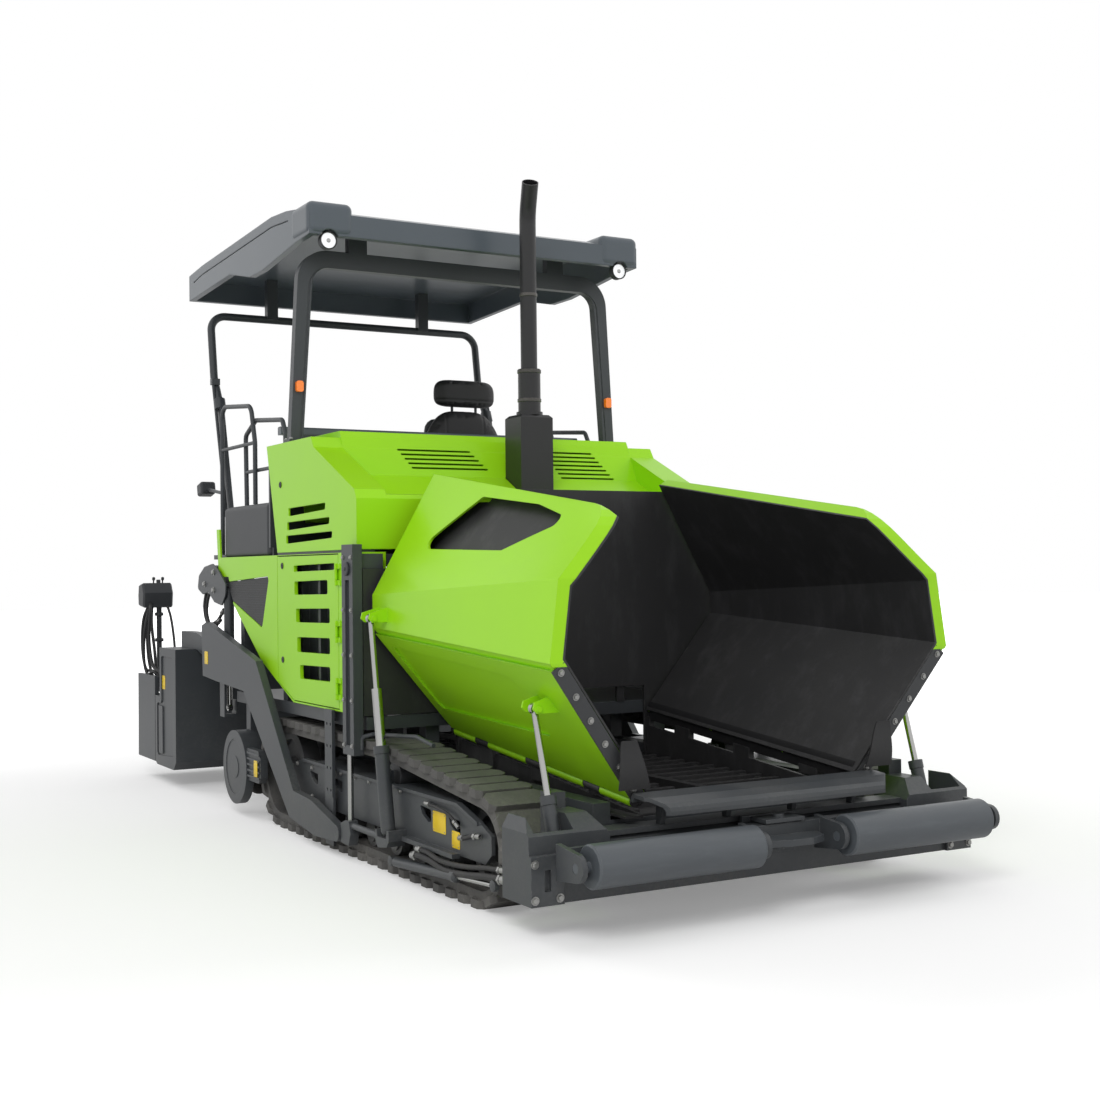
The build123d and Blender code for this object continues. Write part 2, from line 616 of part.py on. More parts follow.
def hopper_back_wall():
    """Wall between the hopper and the housing, with a shield behind the wings' rear ends."""
    outline = [(-620, 700), (-1120, 1240), (-1120, 1420), (-760, 2000), (760, 2000), (1120, 1420),
               (1120, 1240), (620, 700), (620, 452), (600, 452), (600, 860), (-600, 860), (-600, 452), (-620, 452)]
    wall = slab_yz(outline, 1036, 1052)
    stiff = block((1018, 1036), (-600, 600), (880, 940))
    feet = [block((1018, 1036), y, (DECK_Z[1], 1900)) for y in ((420, 470), (-470, -420))]
    shield = slab_yz([(610, 775), (1168, 775), (1168, 1560), (1030, 1560), (610, 860)], 1022, 1037)
    return join(wall, stiff, *feet, *both(shield))


def conveyors():
    """Two slat conveyors on the hopper floor, with the centre divider."""
    x0, x1 = -700, 2735
    floor = block((x0, x1), (-598, 598), (CROSS_Z[1], CROSS_Z[1] + 12))
    top = CROSS_Z[1] + 12
    divider = block((x0, x1), (-22, 22), (top, top + 52))
    parts = [floor, divider]
    count = 24
    step = (x1 - x0 - 60) / count
    for side in (-1, 1):
        for y in (80, 540):
            y0, y1 = sorted((side * y, side * (y + 30)))
            parts.append(block((x0, x1), (y0, y1), (top, top + 22)))
        for i in range(count):
            x = x0 + 30 + i * step
            y0, y1 = sorted((side * 60, side * 590))
            parts.append(block((x, x + 36), (y0, y1), (top, top + 34)))
    return join(*parts)


# ---------------------------------------------------------------- cylinders
def cylinder_parts(foot, eye, barrel_r, rod_r, barrel_end, rod_start, pin_axis, stage=None):
    """Barrel on a ball foot, and rod with its eye; lengths run from the foot."""
    foot, eye, pin_axis = Vector(foot), Vector(eye), Vector(pin_axis)
    along = (eye - foot).normalized()
    barrel = join(rod(foot, foot + along * barrel_end, barrel_r), Pos(foot) * Sphere(barrel_r))
    head = rod(foot + along * (barrel_end - 40), foot + along * barrel_end, barrel_r + 4)
    bore_r = (stage[0] if stage else rod_r) + FIT
    barrel = join(barrel, head) - rod(foot + along * 30, foot + along * (barrel_end + 10), bore_r)
    piston = rod(foot + along * rod_start, eye, rod_r)
    if stage:
        piston = join(piston, rod(foot + along * rod_start, foot + along * stage[1], stage[0]))
    loop = rod(eye - pin_axis * (EYE_W / 2), eye + pin_axis * (EYE_W / 2), EYE_R)
    pin = rod(eye - pin_axis * (EYE_W / 2 + 6), eye + pin_axis * (EYE_W / 2 + 6), EYE_PIN_R)
    return barrel, join(piston, loop, pin)


# ---------------------------------------------------------------- housings
def hood():
    """Sheet-metal engine hood with a sloping front, open below."""
    centre = [(-470, 2365), (280, 2365), (300, 2330), (400, 2095), (650, 1965), (960, 1940), (960, 1665), (-290, 1665)]
    t = HOOD_T
    outer = slab_xz(HOOD_SIDE, -HOOD_Y, HOOD_Y)
    crown = slab_xz(centre, -CROWN_Y, CROWN_Y)
    valley = slab_xz([(330, 2400), (330, 2262), (400, 2105), (650, 1975), (945, 1950), (945, 2400)], -CROWN_Y, CROWN_Y)
    outer = join(outer - valley, crown)
    hollow_side = [(-458, 2312), (280, 2312), (320, 2250), (915, 1980), (948, 1935), (948, 1600), (-282, 1600)]
    hollow_mid = [(-458, 2353), (272, 2353), (288, 2325), (390, 2085), (645, 1953), (948, 1928), (948, 1600),
                  (-282, 1600)]
    inner = slab_xz(hollow_mid, -CROWN_Y + t, CROWN_Y - t)
    strips = slab_xz(hollow_side, CROWN_Y + t, HOOD_Y - t)
    web = slab_xz([(-458, 2300), (270, 2300), (380, 2080), (640, 1945), (948, 1920), (948, 1600), (-282, 1600)],
                  CROWN_Y - 20, CROWN_Y + 20)
    shell = outer - inner - strips - other_side(strips) - web - other_side(web)
    (ex, ey), (bx0, bx1, by) = EXHAUST, EXHAUST_BASE
    shell = shell - block((ex - bx0 - 3, ex + bx1 + 3), (ey - by - 3, ey + by + 3), (1700, 2500))
    for slot in hood_slots():
        shell = shell - slot
    return shell


def hood_slots():
    """Slats' openings: two groups across the steep front and three at the rear of each side."""
    slots = []
    for count, z, y0, y1, step0, step1 in ((5, 2262, -645, -165, 18, 24), (7, 2276, 345, 700, 15, 20)):
        for i in range(count):
            z_mid = z - i * 27
            slots.append(block((280, 420), (y0 + i * step0, y1 + i * step1), (z_mid - 5, z_mid + 5)))
    for z, x0, x1 in ((1905, -90, 500), (1822, -115, 560), (1742, -134, 600)):
        outline = [(x0, z - 26), (x1, z - 8), (x1 + 12, z + 30), (x0, z + 22)]
        slots += both(soft_xz(outline, 12, HOOD_Y - HOOD_T - 2, HOOD_Y + 2))
    return slots


def door_outline(grow=0):
    (x0, x1), (z0, z1) = DOOR_X, DOOR_Z
    turn_x, corner_z = DOOR_LOW
    return [(x0 - grow, corner_z - grow), (turn_x, z0 - grow), (x1 + grow, z0 - grow), (x1 + grow, z1 + grow),
            (x0 - grow, z1 + grow)]


def door_windows(grow=0):
    """Five air openings, each tilted up to the front, grown for the lip around them."""
    windows = []
    for x0, x1, low, high in ((-10, 640, 1548, 1584), (0, 530, 1412, 1490), (24, 560, 1250, 1330),
                              (40, 560, 1076, 1164), (84, 560, 922, 1002)):
        windows.append([(x0 - grow, low - grow), (x1 + grow, low + 8 - grow), (x1 + grow, high + 10 + grow),
                        (x0 - grow, high + grow)])
    return windows


def side_panel():
    """Lower side panel with the doorway cut in it."""
    y0, y1 = HOOD_Y - HOOD_T, HOOD_Y
    (z0, z1) = PANEL_Z
    outline = [(-1500, 1840), (-1460, 1520), (-1250, 1520), (-1150, 1340), (-590, 990), (-30, z0), (960, z0), (960, z1),
               (-1420, z1), (-1440, 1840)]
    panel = slab_xz(outline, y0, y1) - slab_xz(door_outline(6), y0 - 1, y1 + 1)
    panel = panel - soft_xz(GRILLE, 26, y0 - 1, y1 + 1)
    face = block((948, 960), (1000, y1), (z0, z1))
    hinges = []
    (hx, hy), half = DOOR_HINGE, HINGE_LEAF / 2
    for z in HINGE_HEIGHTS:
        for low, high in ((z - half - 31, z - half - 1), (z + half + 1, z + half + 31)):
            hinges.append(rod((hx, hy, low), (hx, hy, high), DOOR_KNUCKLE_R))
            hinges.append(block((hx + 3, hx + 44), (y1, hy - 4), (low, high)))
        hinges.append(rod((hx, hy, z - half - 20), (hx, hy, z + half + 20), DOOR_PIN_R))
    return join(panel, face, *hinges)


def door():
    """Side door with raked openings for air."""
    y0, y1 = HOOD_Y - HOOD_T, HOOD_Y
    leaf = slab_xz(door_outline(), y0, y1)
    for lip, window in zip(door_windows(14), door_windows()):
        leaf = join(leaf, soft_xz(lip, 20, y0 - 10, y0 + 1)) - soft_xz(window, 15, y0 - 11, y1 + 1)
    (hx, hy), half = DOOR_HINGE, HINGE_LEAF / 2
    for z in HINGE_HEIGHTS:
        knuckle = rod((hx, hy, z - half), (hx, hy, z + half), DOOR_KNUCKLE_R)
        strap = block((hx - 44, hx - 3), (y1, hy - 4), (z - half, z + half))
        bore = rod((hx, hy, z - half - 1), (hx, hy, z + half + 1), DOOR_PIN_R + FIT)
        leaf = join(leaf, join(knuckle, strap) - bore)
    return leaf


def panel_grille():
    """Mesh insert in the panel's three-cornered opening."""
    y0 = HOOD_Y - HOOD_T
    cx = sum(x for x, _ in GRILLE) / len(GRILLE)
    cz = sum(z for _, z in GRILLE) / len(GRILLE)
    inner = [(cx + (x - cx) * 0.97, cz + (z - cz) * 0.97) for x, z in GRILLE]
    return soft_xz(inner, 24, y0 - 6, y0 + 8)


def column():
    """Front corner post that guides the tow point."""
    (x0, x1), (y0, y1) = COLUMN_X, COLUMN_Y
    body = block((x0, x1), (y0, y1), (COLUMN_LOW, 1690))
    groove = block((x0 + 46, x1 - 46), (y1 - 16, y1 + 1), (COLUMN_LOW + 50, 1500))
    tie = [block((960, 1010), (1040, y0), z) for z in ((790, 870), (1560, 1640))]
    return join(body - groove, *tie)


def foot_bracket():
    """Clevis of the tow pin, the strut ahead of it and the cradle under the rear cylinder's ball."""
    x0, x1 = COLUMN_X
    y0, y1 = COLUMN_Y
    tx, tz = TOW
    top = CLEVIS_TOP
    clevis = slab_xz([(tx + 51, tz - 40), (tx + 51, tz + 62), (x0 + 20, top), (x1 - 80, top), (x1 - 60, tz + 20),
                      (x1 - 85, tz - 45)], y0 + 4, y1)
    cheek = soft_xz([(tx - 40, tz - 38), (tx - 40, tz + 38), (tx + 90, tz + 50), (tx + 90, tz - 40)], 30, y0 - 2, y0 + 12)
    pin = across(tx, tz, TOW_PIN_R, y0, ARM_Y[1])
    fx, fy, fz = REAR_FOOT
    strut = rod((x1 - 90, fy - 3, STRUT_Z), (fx - 70, fy - 3, STRUT_Z), 17)
    low = fz - REAR_BARREL_R - 2
    cradle = slab_xz([(fx - 78, low + 34), (fx - 78, low - 18), (fx - 48, low - 56), (fx + 62, low - 40),
                      (fx + 88, low - 8), (fx + 88, low + 44), (fx + 66, low + 44), (fx + 54, low), (fx - 54, low),
                      (fx - 64, low + 34)], FRAME_OUT, fy + REAR_BARREL_R)
    return join(clevis, cheek, pin, strut, cradle)


def tow_rod():
    """Bright rod between the column and the clevis."""
    x, y = TOW_ROD
    return rod((x, y, CLEVIS_TOP), (x, y, COLUMN_LOW), 16)


def tow_guide():
    """Bolted wear plate behind the tow arm."""
    y0 = COLUMN_Y[0]
    (x0, x1) = GUIDE_X
    plate = block((x0, x1), (y0, y0 + 14), (30, 780))
    for i in range(6):
        for x in (x0 + 34, x1 - 34):
            plate -= across(x, 90 + i * 122, 9, y0 - 6, y0 + 20)
    lip = block((x1 - 14, x1), (y0 + 13, y0 + 19), (300, 780))
    ties = block((x0 + 20, x0 + 80), (1150, y0), (715, 765))
    return join(plate, lip, ties)


def guard_bar():
    """Bent bar over the track, behind the rear cylinder."""
    y = COLUMN_Y[0] + 6
    return bent_tube([(1040, y, 600), (1040, y, 668), (1100, 1142, 686), (1620, 1130, 718), (1790, 1120, 690)], 11, 30)


def storage_bin():
    bin_box = block((-1400, -505), (840, 1150), (1640, 1985))
    return fillet(bin_box.edges(), 34)


def deck():
    """Driver's floor and the bulkhead behind the hood."""
    floor = block((-1690, -495), (-1130, 1130), (1640, 1670))
    for y in ((835, 1135), (-1135, -835)):
        floor = floor - block((-1405, -495), y, (1600, 1700))
    wall = block((-495, -472), (-1150, 1150), (1640, 2330))
    wall = wall - block((-500, -460), (1130, 1160), (1600, 1700)) - block((-500, -460), (-1160, -1130), (1600, 1700))
    sill = block((-535, -472), (-960, 960), (2320, 2412))
    return join(floor, wall, sill)


def console():
    outline = [(-560, 1670), (-620, 2300), (-700, 2460), (-900, 2460), (-860, 2300), (-780, 1670)]
    return slab_xz(outline, 190, 815)


def seat():
    """Driver's seat: cushion, back with sloping shoulders, head pad and pedestal."""
    cushion = fillet(block((-1270, -905), (330, 830), (2080, 2200)).edges(), 34)
    back = [(262, 2215), (899, 2215), (899, 2550), (830, 2700), (330, 2700), (262, 2550)]
    back = Pos(0, 0, 0) * soft_yz(back, 50, -1320, -1205)
    head = soft_yz([(336, 2716), (854, 2716), (854, 2935), (336, 2935)], 60, -1310, -1215)
    stems = [rod((-1262, y, 2650), (-1262, y, 2760), 10) for y in (480, 700)]
    spine = block((-1300, -1250), (480, 700), (2090, 2300))
    base = block((-1220, -1000), (450, 700), (1670, 2090))
    return join(cushion, spine, back, head, *stems, base)


def handrails():
    """Rail loops at each side of the driver's floor."""
    y_tall, y_low = 1112, 1092
    tall = bent_tube([(x, y_tall, z) for x, z in ((-1545, 1670), (-1545, 2680), (-935, 2627), (-860, 2386), (-860, 1986))],
                     15, 90)
    low = bent_tube([(x, y_low, z) for x, z in ((-1090, 1986), (-1104, 2446), (-900, 2531), (-400, 2489), (-345, 2400),
                                                (-345, 2326))], 15, 45)
    rung = rod((-1545, y_tall, 2384), (-862, y_tall, 2384), 12)
    short_rung = rod((-1093, y_low, 2206), (-515, y_low, 2206), 12)
    stub = rod((-515, y_low, 2215), (-515, y_low, 1986), 12)
    return both(join(tall, rung)) + both(join(low, short_rung, stub))


# ---------------------------------------------------------------- canopy
def roof_under(x):
    """Height of the roof's underside at a given x."""
    for (x1, z1), (x2, z2) in zip(ROOF_TOP, ROOF_TOP[1:]):
        if x <= x2:
            return z1 + (z2 - z1) * (x - x1) / (x2 - x1) - ROOF_T
    return ROOF_TOP[-1][1] - ROOF_T


def canopy_roof():
    """Moulded roof with rounded caps at its front corners, open below."""
    outer = slab_xz(list(ROOF_TOP) + list(ROOF_LOW), -ROOF_Y, ROOF_Y)
    cap = fillet(block((-90, 215), (860, 1145), (3520, 3718)).edges(), 42)
    lamp_y, lamp_z = LAMP
    recess = rod((150, lamp_y, lamp_z), (230, lamp_y, lamp_z), LAMP_R + 10)
    outer = join(outer, *both(cap)) - recess - other_side(recess)
    x0, x1 = ROOF_TOP[0][0] + ROOF_T, ROOF_TOP[-1][0] - ROOF_T
    hollow = [(x0, roof_under(x0))] + [(x, roof_under(x)) for x, _ in ROOF_TOP[1:-1]] + [(x1, roof_under(x1))]
    hollow += [(x1, 3300), (x0, 3300)]
    shell = outer - slab_xz(hollow, -ROOF_Y + ROOF_T, ROOF_Y - ROOF_T)
    groove = slab_xz([(-2100, 3630), (-1890, 3652), (-450, 3690), (-150, 3668), (-150, 3660), (-450, 3682),
                      (-1890, 3644), (-2100, 3622)], ROOF_Y - 8, ROOF_Y + 1)
    return shell - groove - other_side(groove)


def roof_post(x0, x1, y0, y1, z):
    """Bracket from an arch up to the roof's underside."""
    return slab_xz([(x0, z), (x1, z), (x1, roof_under(x1)), (x0, roof_under(x0))], y0, y1)


def front_arch():
    """Portal of two leaning posts and a cross beam, bent from one section."""
    y_low, y_top, half = 1105, 1042, 40
    x0, x1 = -170, -110
    outside = [(-y_low - half, 2344), (-y_top - half, 3500), (y_top + half, 3500), (y_low + half, 2344)]
    inside = [(-y_low + half, 2340), (-y_top + half + 10, 3395), (y_top - half - 10, 3395), (y_low - half, 2340)]
    frame = portal(outside, 200, x0, x1) - portal(inside, 110, x0 - 1, x1 + 1)
    for x in (x0, x1 - 5):
        frame -= portal([(y + math.copysign(24, y), z) for y, z in inside], 130, x, x + 5) - portal(
            [(y + math.copysign(12, y), z) for y, z in inside], 120, x - 1, x + 6)
    feet = both(block((x0 - 20, x1 + 20), (1030, 1160), (2326, 2345)))
    return join(frame, *feet, *both(roof_post(x0, x1, 640, 760, 3490)))


def rear_arch():
    """Flat leaning posts with a bent tube between them, over the driver."""
    y = 1050
    post = slab_xz([(-1606, 1670), (-1512, 1670), (-1512, 1900), (-1738, 2724), (-1832, 2724), (-1606, 1900)],
                   y - 14, y + 14)
    collar = rod((-1772, y, 2690), (-1800, y, 2760), 40)
    side = [(-1782, y, 2715), (-1915, y, 2926), (-1990, y, 3380)]
    over = [(x, -y, z) for x, y, z in side[::-1]]
    tube = bent_tube(side + over, 27, 110)
    struts = both(rod((-1560, y + 30, 1940), (-1850, y + 30, 2900), 10))
    ears = []
    for x, z in ((-1560, 1950), (-1850, 2890)):
        ears += both(block((x - 22, x + 22), (y - 16, y + 42), (z - 22, z + 22)))
    posts = both(roof_post(-2010, -1950, 560, 640, 3380))
    lamp_x, lamp_y, lamp_z = WORK_LAMP
    arm = rod((-1610, lamp_y, 2085), (lamp_x + 62, lamp_y, lamp_z - 6), 12)
    return join(tube, *both(post), *both(collar), *both(arm), *posts, *ears, *struts)


def exhaust():
    """Silencer box on the engine, heat shield and pipe with a bent open tip."""
    (x, y), (behind, ahead, side) = EXHAUST, EXHAUST_BASE
    base = block((x - behind, x + ahead), (y - side, y + side), (1590, 2480))
    base = chamfer(base.edges().group_by(Axis.Z)[-1], 18)
    sleeve = rod((x, y, 2480), (x, y, 2760), 68)
    collar = rod((x, y, 2480), (x, y, 2500), 80)
    tip = Vector(x + 110, y - 40, 3870)
    bend = Vector(x, y, 3700)
    pipe = bent_tube([(x, y, 2700), tuple(bend), tuple(tip)], 50, 200)
    along = (tip - bend).normalized()
    bore = rod(tip - along * 90, tip + along * 10, 44)
    return join(base, collar, sleeve, pipe) - bore


# ---------------------------------------------------------------- augers and screed
def auger():
    x, z = -950, 300
    shaft = across(x, z, 45, 70, 1165)
    blades = []
    for i in range(7):
        y = 120 + i * 150
        disc = Pos(x, y, z) * Rot(90, 0, 0) * Rot(14, 0, 0) * Cylinder(190, 12)
        blades.append(disc)
    return join(shaft, *blades)


def auger_shield():
    """Hood over the auger's outer end: closed end plate, ribbed box ahead of it and a hanger."""
    x, z = -950, 300
    tube = across(x, z, 235, 1000, 1235) - across(x, z, 222, 990, 1226)
    notch = block((x - 260, x + 260), (990, 1180), (0, z - 60))
    tube = tube - notch
    recess = across(x, z, 176, 1231, 1236) - across(x, z, 70, 1230, 1237)
    y0, y1 = TRACK_OUT + 11, 1222
    ahead = slab_xz([(x + 205, z - 60), (x + 430, z - 60), (x + 470, z - 20), (x + 470, z + 90), (x + 420, z + 140),
                     (x + 200, z + 140)], y0, y1)
    ribs = [block((x + 236, x + 462), (y1 - 1, y1 + 10), (z + low, z + low + 12)) for low in (-34, 2, 38, 74, 110)]
    hanger = block((x - 40, x + 40), (1010, 1140), (z + 210, DECK_Z[0]))
    shell = join(tube, ahead) - across(x, z, 222, 990, 1226) - recess
    hanger = hanger - across(x, z, 228, 990, 1240)
    return join(shell, hanger, *ribs)


def auger_gearbox():
    x, z = -950, 300
    case = block((x - 90, x + 90), (-65, 65), (180, 560))
    neck = block((x - 60, x + 60), (-45, 45), (560, DECK_Z[0]))
    return join(case, neck)


def tow_arm():
    """Cranked plate arm from the tow pin, with the box beam that runs back to the screed."""
    y0, y1 = ARM_Y
    tx, tz = TOW
    outline = [(-1620, 1190), (-1520, 1215), (-500, 1000), (150, 280), (430, 262), (tx, tz + 45), (tx, tz - 45),
               (480, 70), (80, 120), (-740, 800), (-1310, 830), (-1600, 850)]
    arm = join(slab_xz(outline, y0, y1), across(tx, tz, 45, y0, y1))
    arm = arm - across(tx, tz, TOW_PIN_R + FIT, y0 - 1, y1 + 1)
    beam = slab_xz([(-1620, 860), (-1430, 850), (-1430, 1000), (-1620, 1010), (-2240, 1120), (-2600, 1120),
                    (-2600, SCREED_Z[1]), (-2236, SCREED_Z[1])], 1020, 1100)
    cross = slab_xz([(-1620, 860), (-1430, 850), (-1430, 1000), (-1620, 1010)], 1020, y0)
    lx, ly, lz = LIFT_LOW
    hang = [(lx - 45, lz - 60), (lx + 45, lz - 60), (lx + 50, 850), (lx - 50, 850)]
    lug = slab_xz(hang, y0 - 12, y0)
    inner = slab_xz([(lx - 45, lz - 60), (lx + 45, lz - 60), (lx + 45, lz + 50), (lx - 45, lz + 50)], ly - 40, ly - 28)
    floor = block((lx - 45, lx + 45), (ly - 40, y0), (lz - 60, lz - 42))
    return join(arm, beam, cross, lug, inner, floor)


def screed_body():
    """Main screed box with its bottom plate, bevelled rear edge and bolted end plates."""
    (x0, x1), (z0, z1) = SCREED_X, SCREED_Z
    outline = [(x0, z0 + 20), (x0 + 40, z0), (x1 - 60, z0), (x1, z0 + 60), (x1, z1), (x1 - 420, z1), (x1 - 420, 640),
               (x0, 640)]
    box = slab_xz(outline, -SCREED_Y + 16, SCREED_Y - 16)
    rim = slab_xz(outline, SCREED_Y - 17, SCREED_Y)
    hollow = soft_xz([(x0 + 46, z0 + 70), (x1 - 60, z0 + 90), (x1 - 60, z1 - 60), (x1 - 376, z1 - 60), (x1 - 376, 590),
                      (x0 + 46, 590)], 30, SCREED_Y - 10, SCREED_Y + 1)
    end = rim - hollow
    channel = block((x0 + 90, x0 + 190), (SCREED_Y - 10, SCREED_Y), (z0 + 90, 570))
    return join(box, *both(end), *both(channel))


def screed_extension():
    """Sliding rear half with its end gate."""
    x, z = EXTENSION_X, EXTENSION_Z
    gate = block((x[0] - 40, x[1]), (SCREED_Y - 30, SCREED_Y), (z[0] + 10, z[1] + 160))
    return join(block(x, (15, SCREED_Y - 30), z), gate)


def screed_walkway():
    """Grating behind the screed, with its supports from the main box."""
    plate = block((REAR_END, SCREED_X[0] + 100), (-1140, 1140), WALK_Z)
    return plate


def screed_controls():
    """Stalk with a faceted control box, knob and guard loop."""
    x, y = -3210, 1100
    post = rod((x, y, WALK_Z[1]), (x, y, 1300), 20)
    foot = block((x - 45, x + 45), (y - 38, y + 38), (WALK_Z[1], WALK_Z[1] + 12))
    box = slab_xz([(x - 62, 1300), (x + 60, 1290), (x + 66, 1400), (x + 20, 1470), (x - 66, 1452)], y - 70, y + 66)
    knob = rod((x - 10, y, 1450), (x - 16, y, 1500), 16)
    return join(post, foot, box, knob)


# ---------------------------------------------------------------- lift cylinders
def lift_bracket():
    """Curved fork on the rear frame that holds the lift cylinder's ball."""
    x, y, z = LIFT_TOP
    outline = [(-1880, 1440), (-1850, 1530), (-1720, 1590), (-1540, 1610), (-1400, 1560), (-1250, 1470), (-1262, 1400),
               (-1340, 1330), (-1500, 1350), (-1640, 1420), (-1760, 1400)]
    outer = soft_xz(outline, 26, 1180, 1190)
    inner = soft_xz(outline, 26, 1095, 1107)
    web = slab_xz([(-1640, 1560), (-1600, 1600), (-1520, 1590), (-1520, 1520)], 1095, 1188)
    cap = block((x - 40, x + 30), (1107, 1181), (z + 40, z + 60))
    return join(outer, inner, web, cap)


def head_lamp():
    """Round lamp with its bracket up to the roof's underside."""
    y, z = LAMP
    body = join(rod((126, y, z), (150, y, z), LAMP_R - 14), rod((148, y, z), (190, y, z), LAMP_R))
    glass_seat = rod((182, y, z), (191, y, z), LAMP_R - 6)
    stalk = block((128, 146), (y - 16, y + 16), (z + 20, roof_under(146)))
    return join(body - glass_seat, stalk)


def lamp_glass():
    y, z = LAMP
    return rod((182.5, y, z), (188, y, z), LAMP_R - 7)


def marker_lamp():
    """Amber lamp on the front arch's post."""
    x, y, z = MARKER
    return Pos(x, y, z) * Rot(0, 90, 0) * extrude(RectangleRounded(66, 44, 14), 26)


def work_lamp():
    """Rear lamp, tilted down, held by the arm on the rear arch."""
    return Pos(*WORK_LAMP) * Rot(0, -12, 0) * fillet(Box(110, 110, 90).edges(), 18)


# ---------------------------------------------------------------- build every node
def build():
    save("track_belts", *both(track_belt()))
    save("running_wheels", *[side for wheel in running_wheels() for side in both(wheel)])
    save("track_frames", *both(track_frame()))
    save("chassis", chassis())
    save("body_frame", body_frame())
    save("engine_block", engine_block())
    save("front_beam", front_beam())
    save("push_bar", push_bar())
    for name, roller in zip(("left", "right"), both(push_roller())):
        save(f"push_roller_{name}", roller)
    save("apron", apron())
    for name, shape in zip(("left", "right"), both(wing())):
        save(f"wing_{name}", shape)
    for name, shape in zip(("left", "right"), both(wing_liner())):
        save(f"wing_liner_{name}", shape)
    save("hopper_sills", *both(hopper_floor()))
    save("hopper_back_wall", hopper_back_wall())
    save("conveyors", conveyors())
    for place, values in (("rear", (REAR_FOOT, REAR_EYE, REAR_BARREL_R, 15, 420, 412, (1, 0, 0), (26, 715))),
                          ("front", (FRONT_FOOT, FRONT_EYE, FRONT_BARREL_R, 15, 330, 322, (1, 0, 0)))):
        barrel, piston = cylinder_parts(*values)
        for name, shape in zip(("left", "right"), both(barrel)):
            save(f"wing_barrel_{place}_{name}", shape)
        for name, shape in zip(("left", "right"), both(piston)):
            save(f"wing_rod_{place}_{name}", shape)
    save("hood", hood())
    save("side_panels", *both(side_panel()))
    for name, shape in zip(("left", "right"), both(door())):
        save(f"side_door_{name}", shape)
    save("tow_columns", *both(column()), *both(guard_bar()))
    save("foot_brackets", *both(foot_bracket()))
    save("tow_rods", *both(tow_rod()))
    save("tow_guides", *both(tow_guide()))
    save("panel_grilles", *both(panel_grille()))
    save("storage_bins", *both(storage_bin()))
    save("operator_deck", deck())
    save("console", console())
    save("seat", seat())
    save("handrails", *handrails())
    save("canopy_roof", canopy_roof())
    save("front_arch", front_arch())
    save("rear_arch", rear_arch())
    save("lamps", *both(head_lamp()), *both(work_lamp()))
    save("lamp_glasses", *both(lamp_glass()))
    save("marker_lamps", *both(marker_lamp()))
    save("exhaust", exhaust())
    save("auger_gearbox", auger_gearbox())
    save("auger_shields", *both(auger_shield()))
    for name, shape in zip(("left", "right"), both(auger())):
        save(f"auger_{name}", shape)
    save("tow_arms", *both(tow_arm()))
    save("screed_body", screed_body())
    for name, shape in zip(("left", "right"), both(screed_extension())):
        save(f"screed_extension_{name}", shape)
    save("screed_walkway", screed_walkway())
    save("screed_controls", *both(screed_controls()))
    save("lift_brackets", *both(lift_bracket()))
    barrel, piston = cylinder_parts(LIFT_TOP, LIFT_LOW, 34, 18, 420, 240, (0, 1, 0))
    save("lift_barrels", *both(barrel))
    save("lift_rods", *both(piston))


build()
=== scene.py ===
"""Dresses a tracked asphalt paver: paint, tracks, lamps, hoses, seat, plates and fittings."""
import json
import math

import bmesh
import bpy
import numpy as np
from bpy.props import FloatProperty, FloatVectorProperty, PointerProperty
from mathutils import Matrix


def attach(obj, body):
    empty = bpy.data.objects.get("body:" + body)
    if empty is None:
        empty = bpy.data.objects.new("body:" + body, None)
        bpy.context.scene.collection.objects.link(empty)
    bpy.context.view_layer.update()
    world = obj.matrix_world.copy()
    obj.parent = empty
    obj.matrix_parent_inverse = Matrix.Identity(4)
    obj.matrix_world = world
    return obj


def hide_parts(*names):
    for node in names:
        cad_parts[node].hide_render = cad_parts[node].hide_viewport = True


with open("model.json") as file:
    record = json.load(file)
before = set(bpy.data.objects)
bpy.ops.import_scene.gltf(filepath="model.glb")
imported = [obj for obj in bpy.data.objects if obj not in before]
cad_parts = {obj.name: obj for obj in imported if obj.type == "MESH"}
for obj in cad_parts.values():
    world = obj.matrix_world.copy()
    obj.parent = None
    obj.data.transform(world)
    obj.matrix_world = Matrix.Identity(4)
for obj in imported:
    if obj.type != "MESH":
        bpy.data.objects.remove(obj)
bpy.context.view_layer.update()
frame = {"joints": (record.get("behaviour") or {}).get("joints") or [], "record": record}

bl_info = {
    "name": "Asphalt paver dressing",
    "version": (1, 0, 0),
    "blender": (4, 5, 0),
    "location": "3D View > Sidebar > Paver",
    "description": "Builds the looks of a tracked asphalt paver around its fixed frame",
    "category": "Object",
}

ORIGIN, FORWARD, LEFT, UP = (0, 0, 0), (1, 0, 0), (0, 1, 0), (0, 0, 1)
WHITE = (1.0, 1.0, 1.0, 1.0)


# ------------------------------------------------------------------ settings
def colour(name, description, default):
    """A colour that the sidebar shows as a swatch."""
    return FloatVectorProperty(name=name, description=description, subtype="COLOR", size=3,
                               min=0.0, max=1.0, default=default)


def length(name, description, default):
    """A length in metres."""
    return FloatProperty(name=name, description=description, unit="LENGTH", min=0.0, precision=4,
                         default=default)


def rotation(name, description, degrees):
    """An angle given in degrees and kept in radians."""
    return FloatProperty(name=name, description=description, subtype="ANGLE", unit="ROTATION",
                         default=math.radians(degrees))


